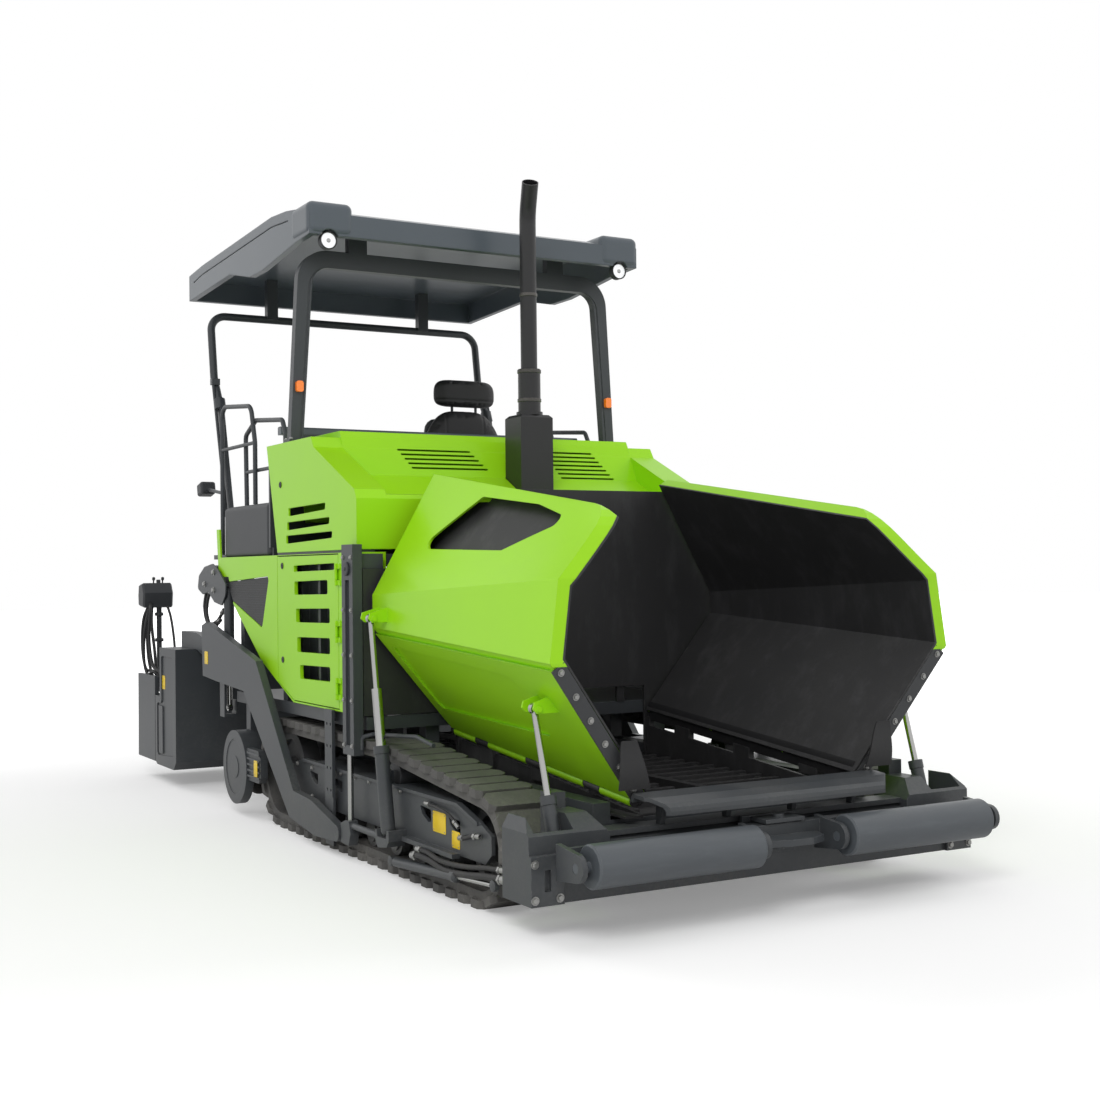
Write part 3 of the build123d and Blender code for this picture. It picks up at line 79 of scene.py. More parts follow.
class PAVER_PG_finishes(bpy.types.PropertyGroup):
    """Colours of the paint, rubber, plates and lenses"""
    lime: colour("Lime", "Gloss paint of the housings and wings", (0.335, 0.715, 0.008))
    frame_grey: colour("Frame grey", "Satin paint of the frames", (0.043, 0.048, 0.053))
    canopy: colour("Canopy", "Moulded roof", (0.072, 0.088, 0.104))
    liner: colour("Liner", "Scuffed black steel inside the hopper", (0.021, 0.021, 0.022))
    roller: colour("Rollers", "Push rollers", (0.078, 0.088, 0.098))
    track: colour("Track pads", "Worn rubber pads", (0.088, 0.086, 0.083))
    yellow: colour("Plates", "Blank yellow plates", (1.000, 0.680, 0.012))
    amber: colour("Marker lamp", "Amber lens", (0.870, 0.190, 0.005))


class PAVER_PG_sizes(bpy.types.PropertyGroup):
    """Sizes of the bolts, plates, augers and seat pads"""
    strip_bolt: length("Strip bolt", "Head radius on the wings' front strips", 0.012)
    bracket_bolt: length("Bracket bolt", "Head radius on the lift brackets", 0.016)
    beam_bolt: length("Beam bolt", "Head radius on the front beam", 0.014)
    track_bolt: length("Track frame bolt", "Head radius on the track frames", 0.011)
    column_bolt: length("Column bolt", "Head radius on the tow columns and the front arch's feet", 0.010)
    panel_bolt: length("Panel bolt", "Head radius on the side panels' front faces", 0.012)
    plate_thick: length("Plate thickness", "Thickness of the yellow plates", 0.0022)
    plate_chamfer: length("Plate chamfer", "Chamfer round the yellow plates", 0.0008)
    plate_corner: length("Plate corner", "Corner radius of the yellow plates", 0.008)
    auger_core: length("Auger core", "Radius at which the screw flight meets its shaft", 0.043)
    auger_rim: length("Auger rim", "Outer radius of the screw flight", 0.186)
    auger_pitch: length("Auger pitch", "Travel of the flight in one turn", 0.300)
    skin_cell: length("Skin cell", "Size of the facets of the seat pads' skin", 0.007)
    swell_cap: length("Swell cap", "Furthest that the pads' skin moves as it fills", 0.010)
    swell_pressure: FloatProperty(name="Swell pressure", description="Pressure inside the seat pads", min=0.0,
                                  default=4.0)
    channel_depth: length("Channel depth", "Depth of the sewn channels", 0.005)
    channel_width: length("Channel width", "Half width of the sewn channels", 0.008)


class PAVER_PG_view(bpy.types.PropertyGroup):
    """The camera's place and turn, and the floor that it sees"""
    eye: FloatVectorProperty(name="Eye", description="Camera position", subtype="TRANSLATION", size=3,
                             unit="LENGTH", default=(8.448, -4.271, 1.540))
    yaw: rotation("Yaw", "Turn of the view from +Y towards -X", 60.16)
    pitch: rotation("Pitch", "Look down", -0.779)
    roll: rotation("Roll", "Lean of the camera", -0.625)
    lens: FloatProperty(name="Lens", description="Focal length on a 36 mm sensor", unit="CAMERA", default=49.09)
    floor: colour("Floor", "Plain pale floor", (0.80, 0.80, 0.80))
    floor_lift: FloatProperty(name="Floor lift", description="White added to the floor as the camera sees it",
                              default=0.25, min=0.0, max=1.0)


# ------------------------------------------------------------------ node helpers
def link(tree, source, target):
    """Join an output to an input."""
    tree.links.new(source, target)


def add(tree, kind, **values):
    """A node with some of its settings and unlinked inputs filled in."""
    node = tree.nodes.new(kind)
    for key, value in values.items():
        if key in node.inputs:
            node.inputs[key].default_value = value
        else:
            setattr(node, key, value)
    return node


def math_node(tree, operation, a, b=0.0, clamp=False):
    """One sum of two values, each a number or an output."""
    node = tree.nodes.new("ShaderNodeMath")
    node.operation = operation
    node.use_clamp = clamp
    for socket, value in zip(node.inputs, (a, b)):
        if isinstance(value, (int, float)):
            socket.default_value = value
        else:
            link(tree, value, socket)
    return node.outputs[0]


def ramp(tree, value, low, high):
    """Map a value from low..high to 0..1, clamped."""
    node = tree.nodes.new("ShaderNodeMapRange")
    node.inputs["From Min"].default_value = low
    node.inputs["From Max"].default_value = high
    link(tree, value, node.inputs["Value"])
    return node.outputs["Result"]


def mix_colour(tree, factor, a, b):
    """Blend from colour a to colour b; a Mix node's sockets 0, 6 and 7 are its factor and its two colours."""
    node = add(tree, "ShaderNodeMix", data_type="RGBA")
    for index, value in ((0, factor), (6, a), (7, b)):
        socket = node.inputs[index]
        if isinstance(value, (int, float)):
            socket.default_value = value
        elif isinstance(value, (tuple, list)):
            socket.default_value = (*value[:3], 1.0)
        else:
            link(tree, value, socket)
    return node.outputs[2]


def noise(tree, vector, scale, detail=4.0, roughness=0.55, stretch=None):
    """Noise over a place, which may be stretched along its axes first."""
    if stretch:
        mapping = add(tree, "ShaderNodeMapping", Scale=stretch)
        link(tree, vector, mapping.inputs["Vector"])
        vector = mapping.outputs[0]
    node = add(tree, "ShaderNodeTexNoise", Scale=scale, Detail=detail, Roughness=roughness)
    link(tree, vector, node.inputs["Vector"])
    return node.outputs["Fac"]


def new_group(name, inputs, outputs):
    """An empty node group with named sockets, and its two end nodes."""
    tree = bpy.data.node_groups.new(name, "ShaderNodeTree")
    for label, kind, default in inputs:
        socket = tree.interface.new_socket(name=label, in_out="INPUT", socket_type=kind)
        socket.default_value = default
    for label, kind in outputs:
        tree.interface.new_socket(name=label, in_out="OUTPUT", socket_type=kind)
    return tree, tree.nodes.new("NodeGroupInput"), tree.nodes.new("NodeGroupOutput")


FLOAT, VECTOR = "NodeSocketFloat", "NodeSocketVector"


def build_soft_edge():
    """Rounded look and a mask along the edges of sheet metal."""
    tree, inp, out = new_group("Soft edge", [("Radius", FLOAT, 0.004)], [("Normal", VECTOR), ("Edge", FLOAT)])
    bevel = add(tree, "ShaderNodeBevel", samples=4)
    link(tree, inp.outputs["Radius"], bevel.inputs["Radius"])
    geometry = add(tree, "ShaderNodeNewGeometry")
    dot = add(tree, "ShaderNodeVectorMath", operation="DOT_PRODUCT")
    link(tree, bevel.outputs[0], dot.inputs[0])
    link(tree, geometry.outputs["Normal"], dot.inputs[1])
    # the true and the rounded normal agree on a flat, and part company near an edge
    edge = ramp(tree, dot.outputs["Value"], 0.995, 0.86)
    link(tree, bevel.outputs[0], out.inputs["Normal"])
    link(tree, edge, out.inputs["Edge"])
    return tree


def build_wear():
    """Broken-up mask along edges where paint is rubbed thin."""
    inputs = [("Edge", FLOAT, 0.0), ("Amount", FLOAT, 0.5), ("Scale", FLOAT, 30.0)]
    tree, inp, out = new_group("Edge wear", inputs, [("Mask", FLOAT)])
    coords = add(tree, "ShaderNodeTexCoord")
    node = add(tree, "ShaderNodeTexNoise", Detail=6.0, Roughness=0.65)
    link(tree, coords.outputs["Object"], node.inputs["Vector"])
    link(tree, inp.outputs["Scale"], node.inputs["Scale"])
    broken = ramp(tree, node.outputs["Fac"], 0.45, 0.62)
    mask = math_node(tree, "MULTIPLY", broken, inp.outputs["Edge"])
    mask = math_node(tree, "MULTIPLY", mask, inp.outputs["Amount"], clamp=True)
    link(tree, mask, out.inputs["Mask"])
    return tree


def build_dust():
    """Pale road dust: more of it low down and on faces that look up."""
    inputs = [("Amount", FLOAT, 0.5), ("Height", FLOAT, 0.8)]
    tree, inp, out = new_group("Road dust", inputs, [("Mask", FLOAT)])
    coords = add(tree, "ShaderNodeTexCoord")
    split = add(tree, "ShaderNodeSeparateXYZ")
    link(tree, coords.outputs["Object"], split.inputs[0])
    ratio = math_node(tree, "DIVIDE", split.outputs["Z"], inp.outputs["Height"])
    low = math_node(tree, "SUBTRACT", 1.0, ratio, clamp=True)
    normal = add(tree, "ShaderNodeSeparateXYZ")
    link(tree, add(tree, "ShaderNodeNewGeometry").outputs["Normal"], normal.inputs[0])
    upward = ramp(tree, normal.outputs["Z"], 0.3, 1.0)
    clouds = ramp(tree, noise(tree, coords.outputs["Object"], 2.3, 7.0, 0.62), 0.38, 0.72)
    fine = ramp(tree, noise(tree, coords.outputs["Object"], 60.0, 3.0, 0.6), 0.2, 0.8)
    low, upward = math_node(tree, "MULTIPLY", low, 0.8), math_node(tree, "MULTIPLY", upward, 0.4)
    where = math_node(tree, "ADD", low, upward)
    mask = math_node(tree, "MULTIPLY", math_node(tree, "MULTIPLY", where, clouds), fine)
    mask = math_node(tree, "MULTIPLY", mask, inp.outputs["Amount"], clamp=True)
    link(tree, mask, out.inputs["Mask"])
    return tree


def build_grain():
    """Fine surface grain: a height for bump and a value for colour and roughness."""
    tree, inp, out = new_group("Grain", [("Scale", FLOAT, 300.0)], [("Height", FLOAT), ("Cloud", FLOAT)])
    coords = add(tree, "ShaderNodeTexCoord")
    node = add(tree, "ShaderNodeTexNoise", Detail=3.0, Roughness=0.6)
    link(tree, coords.outputs["Object"], node.inputs["Vector"])
    link(tree, inp.outputs["Scale"], node.inputs["Scale"])
    link(tree, node.outputs["Fac"], out.inputs["Height"])
    link(tree, noise(tree, coords.outputs["Object"], 1.7, 5.0, 0.6), out.inputs["Cloud"])
    return tree


def place_group(tree, name, **values):
    """A node group in a material, its inputs filled with numbers or linked; gives its outputs."""
    node = tree.nodes.new("ShaderNodeGroup")
    node.node_tree = bpy.data.node_groups[name]
    for key, value in values.items():
        if isinstance(value, (int, float)):
            node.inputs[key].default_value = value
        else:
            link(tree, value, node.inputs[key])
    return node.outputs


DUST_COLOUR = (0.30, 0.285, 0.255)
# near-black painted shade for the dark seen through the openings of the grating and the grilles
HOLE_SHADE_COLOUR = (0.006, 0.006, 0.006)
MATERIALS = {}


def finish(name, base, rough, worn=None, metallic=0.0, coat=0.0, edge=0.004, wear=0.4, wear_scale=30.0,
           dust=0.25, dust_height=0.8, grain=300.0, bump=0.1, bump_depth=0.0004, cloud=0.12, spread=0.08,
           scuffs=0.0, scuff_stretch=(1.0, 1.0, 1.0), scuff_scale=6.0, pattern=None, painted_glow=None, **sockets):
    """A surface with its own colour clouds, edge wear, dust, grain and scuffs. Edge, bump depth and dust
    height are lengths, the scales are cells in a metre, and worn is the colour of rubbed edges."""
    mat = bpy.data.materials.new(name)
    mat.use_nodes = True
    tree = mat.node_tree
    shader = tree.nodes["Principled BSDF"]
    grains = place_group(tree, "Grain", Scale=grain)
    dark = tuple(c * (1 - cloud) for c in base)
    light = tuple(min(1.0, c * (1 + cloud)) for c in base)
    tint = mix_colour(tree, grains["Cloud"], dark, light)
    roughness = math_node(tree, "MULTIPLY", grains["Cloud"], spread)
    roughness = math_node(tree, "ADD", rough - spread / 2, roughness)
    normal = None
    if edge:
        edges = place_group(tree, "Soft edge", Radius=edge)
        normal = edges["Normal"]
        if worn:
            mask = place_group(tree, "Edge wear", Edge=edges["Edge"], Amount=wear, Scale=wear_scale)["Mask"]
            tint = mix_colour(tree, mask, tint, worn)
    if scuffs:
        coords = add(tree, "ShaderNodeTexCoord").outputs["Object"]
        streaks = ramp(tree, noise(tree, coords, scuff_scale, 8.0, 0.7, scuff_stretch), 0.5, 0.75)
        streaks = math_node(tree, "MULTIPLY", streaks, scuffs)
        tint = mix_colour(tree, streaks, tint, tuple(min(1.0, c * 3.2 + 0.02) for c in base))
        roughness = math_node(tree, "ADD", roughness, math_node(tree, "MULTIPLY", streaks, -0.18))
    if dust:
        mask = place_group(tree, "Road dust", Amount=dust, Height=dust_height)["Mask"]
        tint = mix_colour(tree, mask, tint, DUST_COLOUR)
        roughness = math_node(tree, "ADD", roughness, math_node(tree, "MULTIPLY", mask, 0.35), clamp=True)
    height = grains["Height"]
    if pattern:
        height, tint = pattern(tree, height, tint)
    if bump:
        relief = add(tree, "ShaderNodeBump", Strength=bump, Distance=bump_depth)
        link(tree, height, relief.inputs["Height"])
        if normal:
            link(tree, normal, relief.inputs["Normal"])
        normal = relief.outputs[0]
    link(tree, tint, shader.inputs["Base Color"])
    link(tree, roughness, shader.inputs["Roughness"])
    if normal:
        link(tree, normal, shader.inputs["Normal"])
    shader.inputs["Metallic"].default_value = metallic
    shader.inputs["Coat Weight"].default_value = coat
    for key, value in sockets.items():
        shader.inputs[key.replace("_", " ")].default_value = value
    # painted glow: the emission set here makes a lens give off light of its own, as if it were lit
    if painted_glow:
        shader.inputs["Emission Color"].default_value = (*painted_glow[:3], 1.0)
        shader.inputs["Emission Strength"].default_value = painted_glow[3]
    MATERIALS[name] = mat


def leather_pattern(tree, height, tint):
    """Pebbled grain: Voronoi cells with soft creases between them."""
    cells = add(tree, "ShaderNodeTexVoronoi", feature="DISTANCE_TO_EDGE", Scale=260.0)
    link(tree, add(tree, "ShaderNodeTexCoord").outputs["Object"], cells.inputs["Vector"])
    crease = ramp(tree, cells.outputs["Distance"], 0.0, 0.16)
    return math_node(tree, "ADD", crease, math_node(tree, "MULTIPLY", height, 0.3)), tint


def wave_height(tree, scale, turn):
    """Ridges: the absolute sine of the place along one turned direction."""
    mapping = add(tree, "ShaderNodeMapping", Rotation=turn)
    link(tree, add(tree, "ShaderNodeTexCoord").outputs["Object"], mapping.inputs["Vector"])
    split = add(tree, "ShaderNodeSeparateXYZ")
    link(tree, mapping.outputs[0], split.inputs[0])
    angle = math_node(tree, "MULTIPLY", split.outputs["X"], 2 * math.pi / scale)
    return math_node(tree, "ABSOLUTE", math_node(tree, "SINE", angle))


def holes(tree, height, tint, first, second, low, high):
    """Openings where both ridge sets are low, painted near black as the shade seen through them, with the
    strands standing up between them.
    """
    opening = ramp(tree, math_node(tree, "MINIMUM", first, second), low, high)
    strand = math_node(tree, "SUBTRACT", 1.0, opening)
    tint = mix_colour(tree, opening, tint, HOLE_SHADE_COLOUR)
    return math_node(tree, "ADD", strand, math_node(tree, "MULTIPLY", height, 0.1)), tint


def expanded_mesh(tree, height, tint):
    """Expanded metal: crossed slanting strands on top of the walkway."""
    first = wave_height(tree, 0.085, (0.0, 0.0, math.radians(32.0)))
    second = wave_height(tree, 0.085, (0.0, 0.0, math.radians(-32.0)))
    return holes(tree, height, tint, first, second, 0.30, 0.42)


def square_mesh(tree, height, tint):
    """Woven mesh: upright and level wires."""
    first = wave_height(tree, 0.030, (0.0, 0.0, 0.0))
    second = wave_height(tree, 0.030, (0.0, math.radians(90.0), 0.0))
    return holes(tree, height, tint, first, second, 0.35, 0.50)


def flutes(tree, height, tint):
    """Upright flutes of a lamp glass."""
    return wave_height(tree, 0.016, (0.0, 0.0, math.radians(90.0))), tint


def build_materials(settings):
    """The shared groups, then every finish."""
    build_soft_edge()
    build_wear()
    build_dust()
    build_grain()
    finish("lime_paint", tuple(settings.lime), 0.34, worn=(0.42, 0.78, 0.06), coat=0.08, edge=0.006, wear=0.25,
           dust=0.10, dust_height=1.0, grain=420.0, bump=0.05, cloud=0.05, Coat_Roughness=0.12,
           Specular_IOR_Level=0.32)
    finish("frame_grey", tuple(settings.frame_grey), 0.40, worn=(0.17, 0.18, 0.19), edge=0.004, wear=0.7,
           dust=0.32, dust_height=0.9, grain=350.0, bump=0.14, cloud=0.12)
    finish("dark_steel", (0.040, 0.042, 0.045), 0.50, worn=(0.16, 0.16, 0.16), edge=0.003, wear=0.8,
           dust=0.75, dust_height=0.8, grain=200.0, bump=0.25, cloud=0.2)
    finish("cast_block", (0.110, 0.110, 0.110), 0.65, edge=0.004, dust=0.3, grain=160.0, bump=0.4)
    finish("roller_steel", tuple(settings.roller), 0.36, worn=(0.30, 0.31, 0.32), edge=0.004, wear=0.6,
           dust=0.12, dust_height=0.5, grain=300.0, bump=0.08, scuffs=0.08, scuff_stretch=(6.0, 1.0, 6.0),
           scuff_scale=5.0)
    finish("liner_steel", tuple(settings.liner), 0.50, worn=(0.10, 0.10, 0.10), edge=0.004, wear=0.8,
           dust=0.10, dust_height=1.5, grain=260.0, bump=0.35, bump_depth=0.0006, cloud=0.25, scuffs=0.30,
           scuff_stretch=(1.0, 1.0, 0.35), scuff_scale=7.0)
    finish("chrome_rod", (0.43, 0.43, 0.42), 0.20, metallic=1.0, edge=0.0, dust=0.06, bump=0.03, cloud=0.10,
           spread=0.08)
    finish("bin_plastic", (0.034, 0.037, 0.041), 0.48, edge=0.006, dust=0.10, grain=700.0, bump=0.35,
           bump_depth=0.0005)
    finish("console_plastic", (0.085, 0.095, 0.108), 0.40, edge=0.005, dust=0.06, grain=800.0, bump=0.2)
    finish("seat_leather", (0.014, 0.014, 0.015), 0.42, edge=0.0, dust=0.04, bump=0.5, bump_depth=0.0007,
           pattern=leather_pattern)
    finish("canopy_grey", tuple(settings.canopy), 0.32, worn=(0.16, 0.18, 0.20), edge=0.012, wear=0.15,
           dust=0.08, grain=500.0, bump=0.06, cloud=0.06, coat=0.2, Coat_Roughness=0.2)
    finish("exhaust_black", (0.016, 0.016, 0.017), 0.38, worn=(0.07, 0.065, 0.06), edge=0.004, wear=0.5,
           dust=0.06, grain=260.0, bump=0.2)
    finish("track_rubber", tuple(settings.track), 0.72, worn=(0.20, 0.195, 0.185), edge=0.006, wear=0.9,
           wear_scale=45.0, dust=0.8, dust_height=0.9, grain=140.0, bump=0.5, bump_depth=0.0012, cloud=0.2)
    finish("yellow_plate", tuple(settings.yellow), 0.38, edge=0.0015, dust=0.03, grain=500.0, bump=0.04,
           cloud=0.03)
    # the work lamp lenses get a near-white painted glow that stands in for the glass's bright sheen
    finish("lamp_glass", (0.80, 0.81, 0.82), 0.12, metallic=0.35, painted_glow=(0.9, 0.92, 0.95, 0.35), edge=0.0,
           dust=0.02, bump=0.5, bump_depth=0.002, pattern=flutes, cloud=0.03, coat=1.0)
    finish("bright_bolt", (0.36, 0.36, 0.35), 0.30, metallic=0.85, edge=0.0, dust=0.25, grain=500.0, bump=0.1,
           cloud=0.2)
    finish("worn_steel", (0.085, 0.080, 0.075), 0.45, worn=(0.32, 0.31, 0.30), metallic=0.5, wear=0.9,
           dust=0.35, grain=180.0, bump=0.3, cloud=0.25, scuffs=0.3)
    finish("hose_rubber", (0.014, 0.014, 0.015), 0.55, edge=0.0, dust=0.20, grain=400.0, bump=0.25, cloud=0.15)
    finish("grating", (0.075, 0.080, 0.085), 0.45, worn=(0.22, 0.22, 0.22), edge=0.003, wear=0.8, dust=0.35,
           bump=0.9, bump_depth=0.004, pattern=expanded_mesh)
    finish("grille_mesh", (0.030, 0.032, 0.035), 0.50, edge=0.003, dust=0.12, bump=0.9, bump_depth=0.003,
           pattern=square_mesh)
    # the amber lens has a painted glow in its own colour, as if the marker lamp were lit
    finish("amber_lens", tuple(settings.amber), 0.12, edge=0.0, dust=0.0, bump=0.0, cloud=0.02, coat=1.0,
           painted_glow=(0.9, 0.2, 0.0, 0.25))


# ------------------------------------------------------------------ CAD nodes
OWN_FINISH = {"screed_walkway": "grating", "panel_grilles": "grille_mesh"}


def dress_nodes():
    """Every CAD node takes the finish that its record slot names, or one of its own."""
    for part in frame["record"]["subparts"]:
        obj = bpy.data.objects.get(part["node"])
        if obj is None:
            raise RuntimeError(f"no object for node {part['node']}")
        obj.data.materials.clear()
        obj.data.materials.append(MATERIALS[OWN_FINISH.get(part["node"], part["material_slot"])])


class PAVER_OT_finishes(bpy.types.Operator):
    """Build the finishes and put them on the frame's own pieces"""
    bl_idname = "paver.finishes"
    bl_label = "Finishes"

    def execute(self, context):
        build_materials(context.scene.paver_finishes)
        dress_nodes()
        return {"FINISHED"}


# ------------------------------------------------------------------ mesh makers
def unit(vector):
    """A vector, or each row of vectors, divided by its length."""
    vector = np.asarray(vector, float)
    return vector / np.linalg.norm(vector, axis=-1, keepdims=True)


def across_pair(direction):
    """Two unit vectors square to a direction and to each other."""
    direction = unit(direction)
    u = unit(np.cross(UP if abs(direction[2]) < 0.9 else FORWARD, direction))
    return u, np.cross(direction, u)


def loft(rings):
    """Closed shell through rings of points: quads between neighbouring rings and a cap at each end."""
    rings = np.asarray(rings, float)
    rows, columns = rings.shape[:2]
    i, j = (grid.ravel() for grid in np.meshgrid(np.arange(rows - 1), np.arange(columns), indexing="ij"))
    k = (j + 1) % columns
    quads = np.stack((i * columns + j, (i + 1) * columns + j, (i + 1) * columns + k, i * columns + k), axis=1)
    caps = [list(range(columns)), list(range((rows - 1) * columns, rows * columns))]
    return rings.reshape(-1, 3), quads.tolist() + caps


def turned(profile, origin, axis, sides):
    """A profile of (distance, radius) pairs at each step round an axis: origin + distance along it + radius
    times a spoke. Radii are kept off zero, so that a tip is a tiny ring."""
    profile = np.asarray(profile, float)
    u, v = across_pair(axis)
    turn = np.linspace(0.0, 2 * math.pi, sides, endpoint=False)
    spoke = np.cos(turn)[:, None] * u + np.sin(turn)[:, None] * v
    return (np.asarray(origin, float) + profile[:, :1, None] * unit(axis)
            + np.maximum(profile[:, 1:, None], 0.0002) * spoke[None])


def lathe(profile, origin, axis, sides=24):
    """A turned profile as a closed shell, capped at its first and last pair."""
    return loft(turned(profile, origin, axis, sides))


def ring(profile, origin, axis, sides=40):
    """A turned profile that closes on itself: a hoop without caps."""
    points = turned(profile, origin, axis, sides).transpose(1, 0, 2)
    rows, columns = points.shape[:2]
    i, j = (grid.ravel() for grid in np.meshgrid(np.arange(rows), np.arange(columns), indexing="ij"))
    n, k = (i + 1) % rows, (j + 1) % columns
    quads = np.stack((i * columns + j, n * columns + j, n * columns + k, i * columns + k), axis=1)
    return points.reshape(-1, 3), quads.tolist()


def smooth_path(points, steps=8):
    """Curve through points: each span is a cubic whose slopes are half the chord between its neighbours."""
    points = np.asarray(points, float)
    ends = np.concatenate((2 * points[:1] - points[1:2], points, 2 * points[-1:] - points[-2:-1]))
    a, b, c, d = (ends[n:len(points) - 1 + n, None] for n in range(4))
    t = np.linspace(0.0, 1.0, steps, endpoint=False)[None, :, None]
    square, cube = 2 * a - 5 * b + 4 * c - d, 3 * b - a - 3 * c + d
    spans = 0.5 * (2 * b + (c - a) * t + square * t ** 2 + cube * t ** 3)
    return np.concatenate((spans.reshape(-1, 3), points[-1:]))


def hose(points, radius, sides=12, steps=8):
    """Round tube along a smooth path; the ring at each point lies square to the path there."""
    path = smooth_path(points, steps)
    along = unit(np.gradient(path, axis=0))
    spread = path.max(axis=0) - path.min(axis=0)
    flat = np.zeros(3)
    flat[int(np.argmin(spread))] = 1.0
    u = unit(flat - (along @ flat)[:, None] * along)
    v = np.cross(along, u)
    turn = np.linspace(0.0, 2 * math.pi, sides, endpoint=False)[None, :, None]
    return loft(path[:, None] + radius * (np.cos(turn) * u[:, None] + np.sin(turn) * v[:, None]))


def soft_rectangle(width, height, radius, steps=5):
    """Outline of a rectangle with rounded corners, counter-clockwise about its centre."""
    corner = np.linspace(0.0, math.pi / 2, steps)
    arcs = [np.stack((sx * (width / 2 - radius) + radius * np.cos(corner + quarters * math.pi / 2),
                      sy * (height / 2 - radius) + radius * np.sin(corner + quarters * math.pi / 2)), axis=1)
            for quarters, (sx, sy) in enumerate(((1, 1), (-1, 1), (-1, -1), (1, -1)))]
    return np.concatenate(arcs)


def pressed(outline, centre, normal, up, thick, chamfer):
    """Plate: an outline raised along its normal, with its upper edge drawn in by a chamfer."""
    outline = np.asarray(outline, float)
    normal, up = unit(normal), unit(up)
    side = np.cross(up, normal)
    shrink = 1.0 - chamfer / np.abs(outline).max(axis=0)
    rings = [np.asarray(centre, float) + o[:, :1] * side + o[:, 1:] * up + h * normal
             for o, h in ((outline, 0.0), (outline, thick - chamfer), (outline * shrink, thick))]
    return loft(rings)


def repeat(shell, places, normals):
    """Copies of a small shell that stands on +Z, each turned to its normal and moved to its place."""
    points, faces = shell
    places, normals = np.asarray(places, float), unit(normals)
    normals = np.broadcast_to(normals, places.shape)
    helper = np.where(np.abs(normals[:, 2:]) < 0.9, np.array([UP]), np.array([FORWARD]))
    u = unit(np.cross(helper, normals))
    v = np.cross(normals, u)
    frames = np.stack((u, v, normals), axis=1)
    moved = np.einsum("pk,nkc->npc", points, frames) + places[:, None]
    shift = np.arange(len(places)) * len(points)
    copies = [[int(i + start) for i in face] for start in shift for face in faces]
    return moved.reshape(-1, 3), copies


def bolt(size):
    """Washer and six-sided head standing on +Z; size is the head's radius."""
    washer = lathe([(0.0, 1.35 * size), (0.22 * size, 1.35 * size)], ORIGIN, UP, 14)
    head = lathe([(0.2 * size, size), (0.75 * size, size), (0.95 * size, 0.82 * size)], ORIGIN, UP, 6)
    return merge([washer, head])


def merge(shells):
    """Several shells as one list of points and faces."""
    points, faces, start = [], [], 0
    for shell_points, shell_faces in shells:
        points.append(shell_points)
        faces += [[int(i) + start for i in face] for face in shell_faces]
        start += len(shell_points)
    return np.concatenate(points), faces


def mirrored(shells):
    """The same shells on the machine's right side."""
    return [(points * np.array((1.0, -1.0, 1.0)), faces) for points, faces in shells]


def both(shells):
    """The shells of the left side with the same on the right side."""
    return shells + mirrored(shells)


SIDES = (("left", list), ("right", mirrored))


def piece(name, shells, finish_name, body, smooth=40.0, replaces=()):
    """One object from closed shells: faces turned outwards, smooth below an angle, riding on a body."""
    points, faces = merge(shells)
    mesh = bpy.data.meshes.new(name)
    mesh.from_pydata(points.tolist(), [], faces)
    work = bmesh.new()
    work.from_mesh(mesh)
    bmesh.ops.recalc_face_normals(work, faces=work.faces)
    work.to_mesh(mesh)
    work.free()
    mesh.shade_smooth()
    mesh.set_sharp_from_angle(angle=math.radians(smooth))
    mesh.materials.append(MATERIALS[finish_name])
    obj = bpy.data.objects.new(name, mesh)
    bpy.context.scene.collection.objects.link(obj)
    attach(obj, body)
    if replaces:
        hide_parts(*replaces)
    return obj


# ------------------------------------------------------------------ hopper
WING_FOOT, WING_KNEE = (0.647, 0.502), (1.133, 1.145)   # y, z of the lower panel's ends at the front
LEAN_FOOT, LEAN_TOP = (2.878, 0.500), (2.966, 1.145)    # x, z of the ends of the leaning front edge
LEAN = (LEAN_TOP[0] - LEAN_FOOT[0]) / (LEAN_TOP[1] - LEAN_FOOT[1])
STRIP_RUN = (0.02, 0.77)                                # start and end of the strip along the panel
STRIP_OUT, STRIP_IN = 0.0115, 0.0585                    # its reach outwards and inwards of the panel's line
STRIP_FRONT, STRIP_BACK = 0.0002, 0.0085                # its faces' depths behind the front edge
HEAD_RUN, HEAD_IN, HEAD_BACK = (0.07, 0.74), 0.022, 0.0004   # the same three for its row of bolt heads
FLAP_X, FLAP_Y, FLAP_Z = 2.940, 0.700, 0.580            # middle of the flap's foot
FLAP_HEIGHT, FLAP_THICK = 0.215, 0.008
FLAP_DRIFT, FLAP_LEAN, FLAP_BOW = 0.030, 0.012, 0.006   # outwards and forwards over its height, and its bow
FLAP_TOP_HALF, FLAP_FLARE = 0.040, 0.041                # half its width at the top, and what the foot adds


def on_front_edge(points, back):
    """Points (y, z) set a little behind the wing's leaning front edge: x grows evenly with z."""
    return np.column_stack((LEAN_FOOT[0] + (points[:, 1] - LEAN_FOOT[1]) * LEAN - back, points))


def flap():
    """Hanging rubber: its half width falls upwards as a power of the height left, and a sine bows it."""
    rise = np.linspace(0.0, 1.0, 14)
    hang = FLAP_X + FLAP_LEAN * rise + FLAP_BOW * np.sin(rise * 5.0)
    half = FLAP_TOP_HALF + FLAP_FLARE * (1.0 - rise) ** 0.8
    thick = FLAP_THICK / 2
    return loft(np.stack([
        np.column_stack((hang + dx, FLAP_Y + hand * half + FLAP_DRIFT * rise, FLAP_Z + FLAP_HEIGHT * rise))
        for dx, hand in ((thick, -1), (thick, 1), (-thick, 1), (-thick, -1))], axis=1))


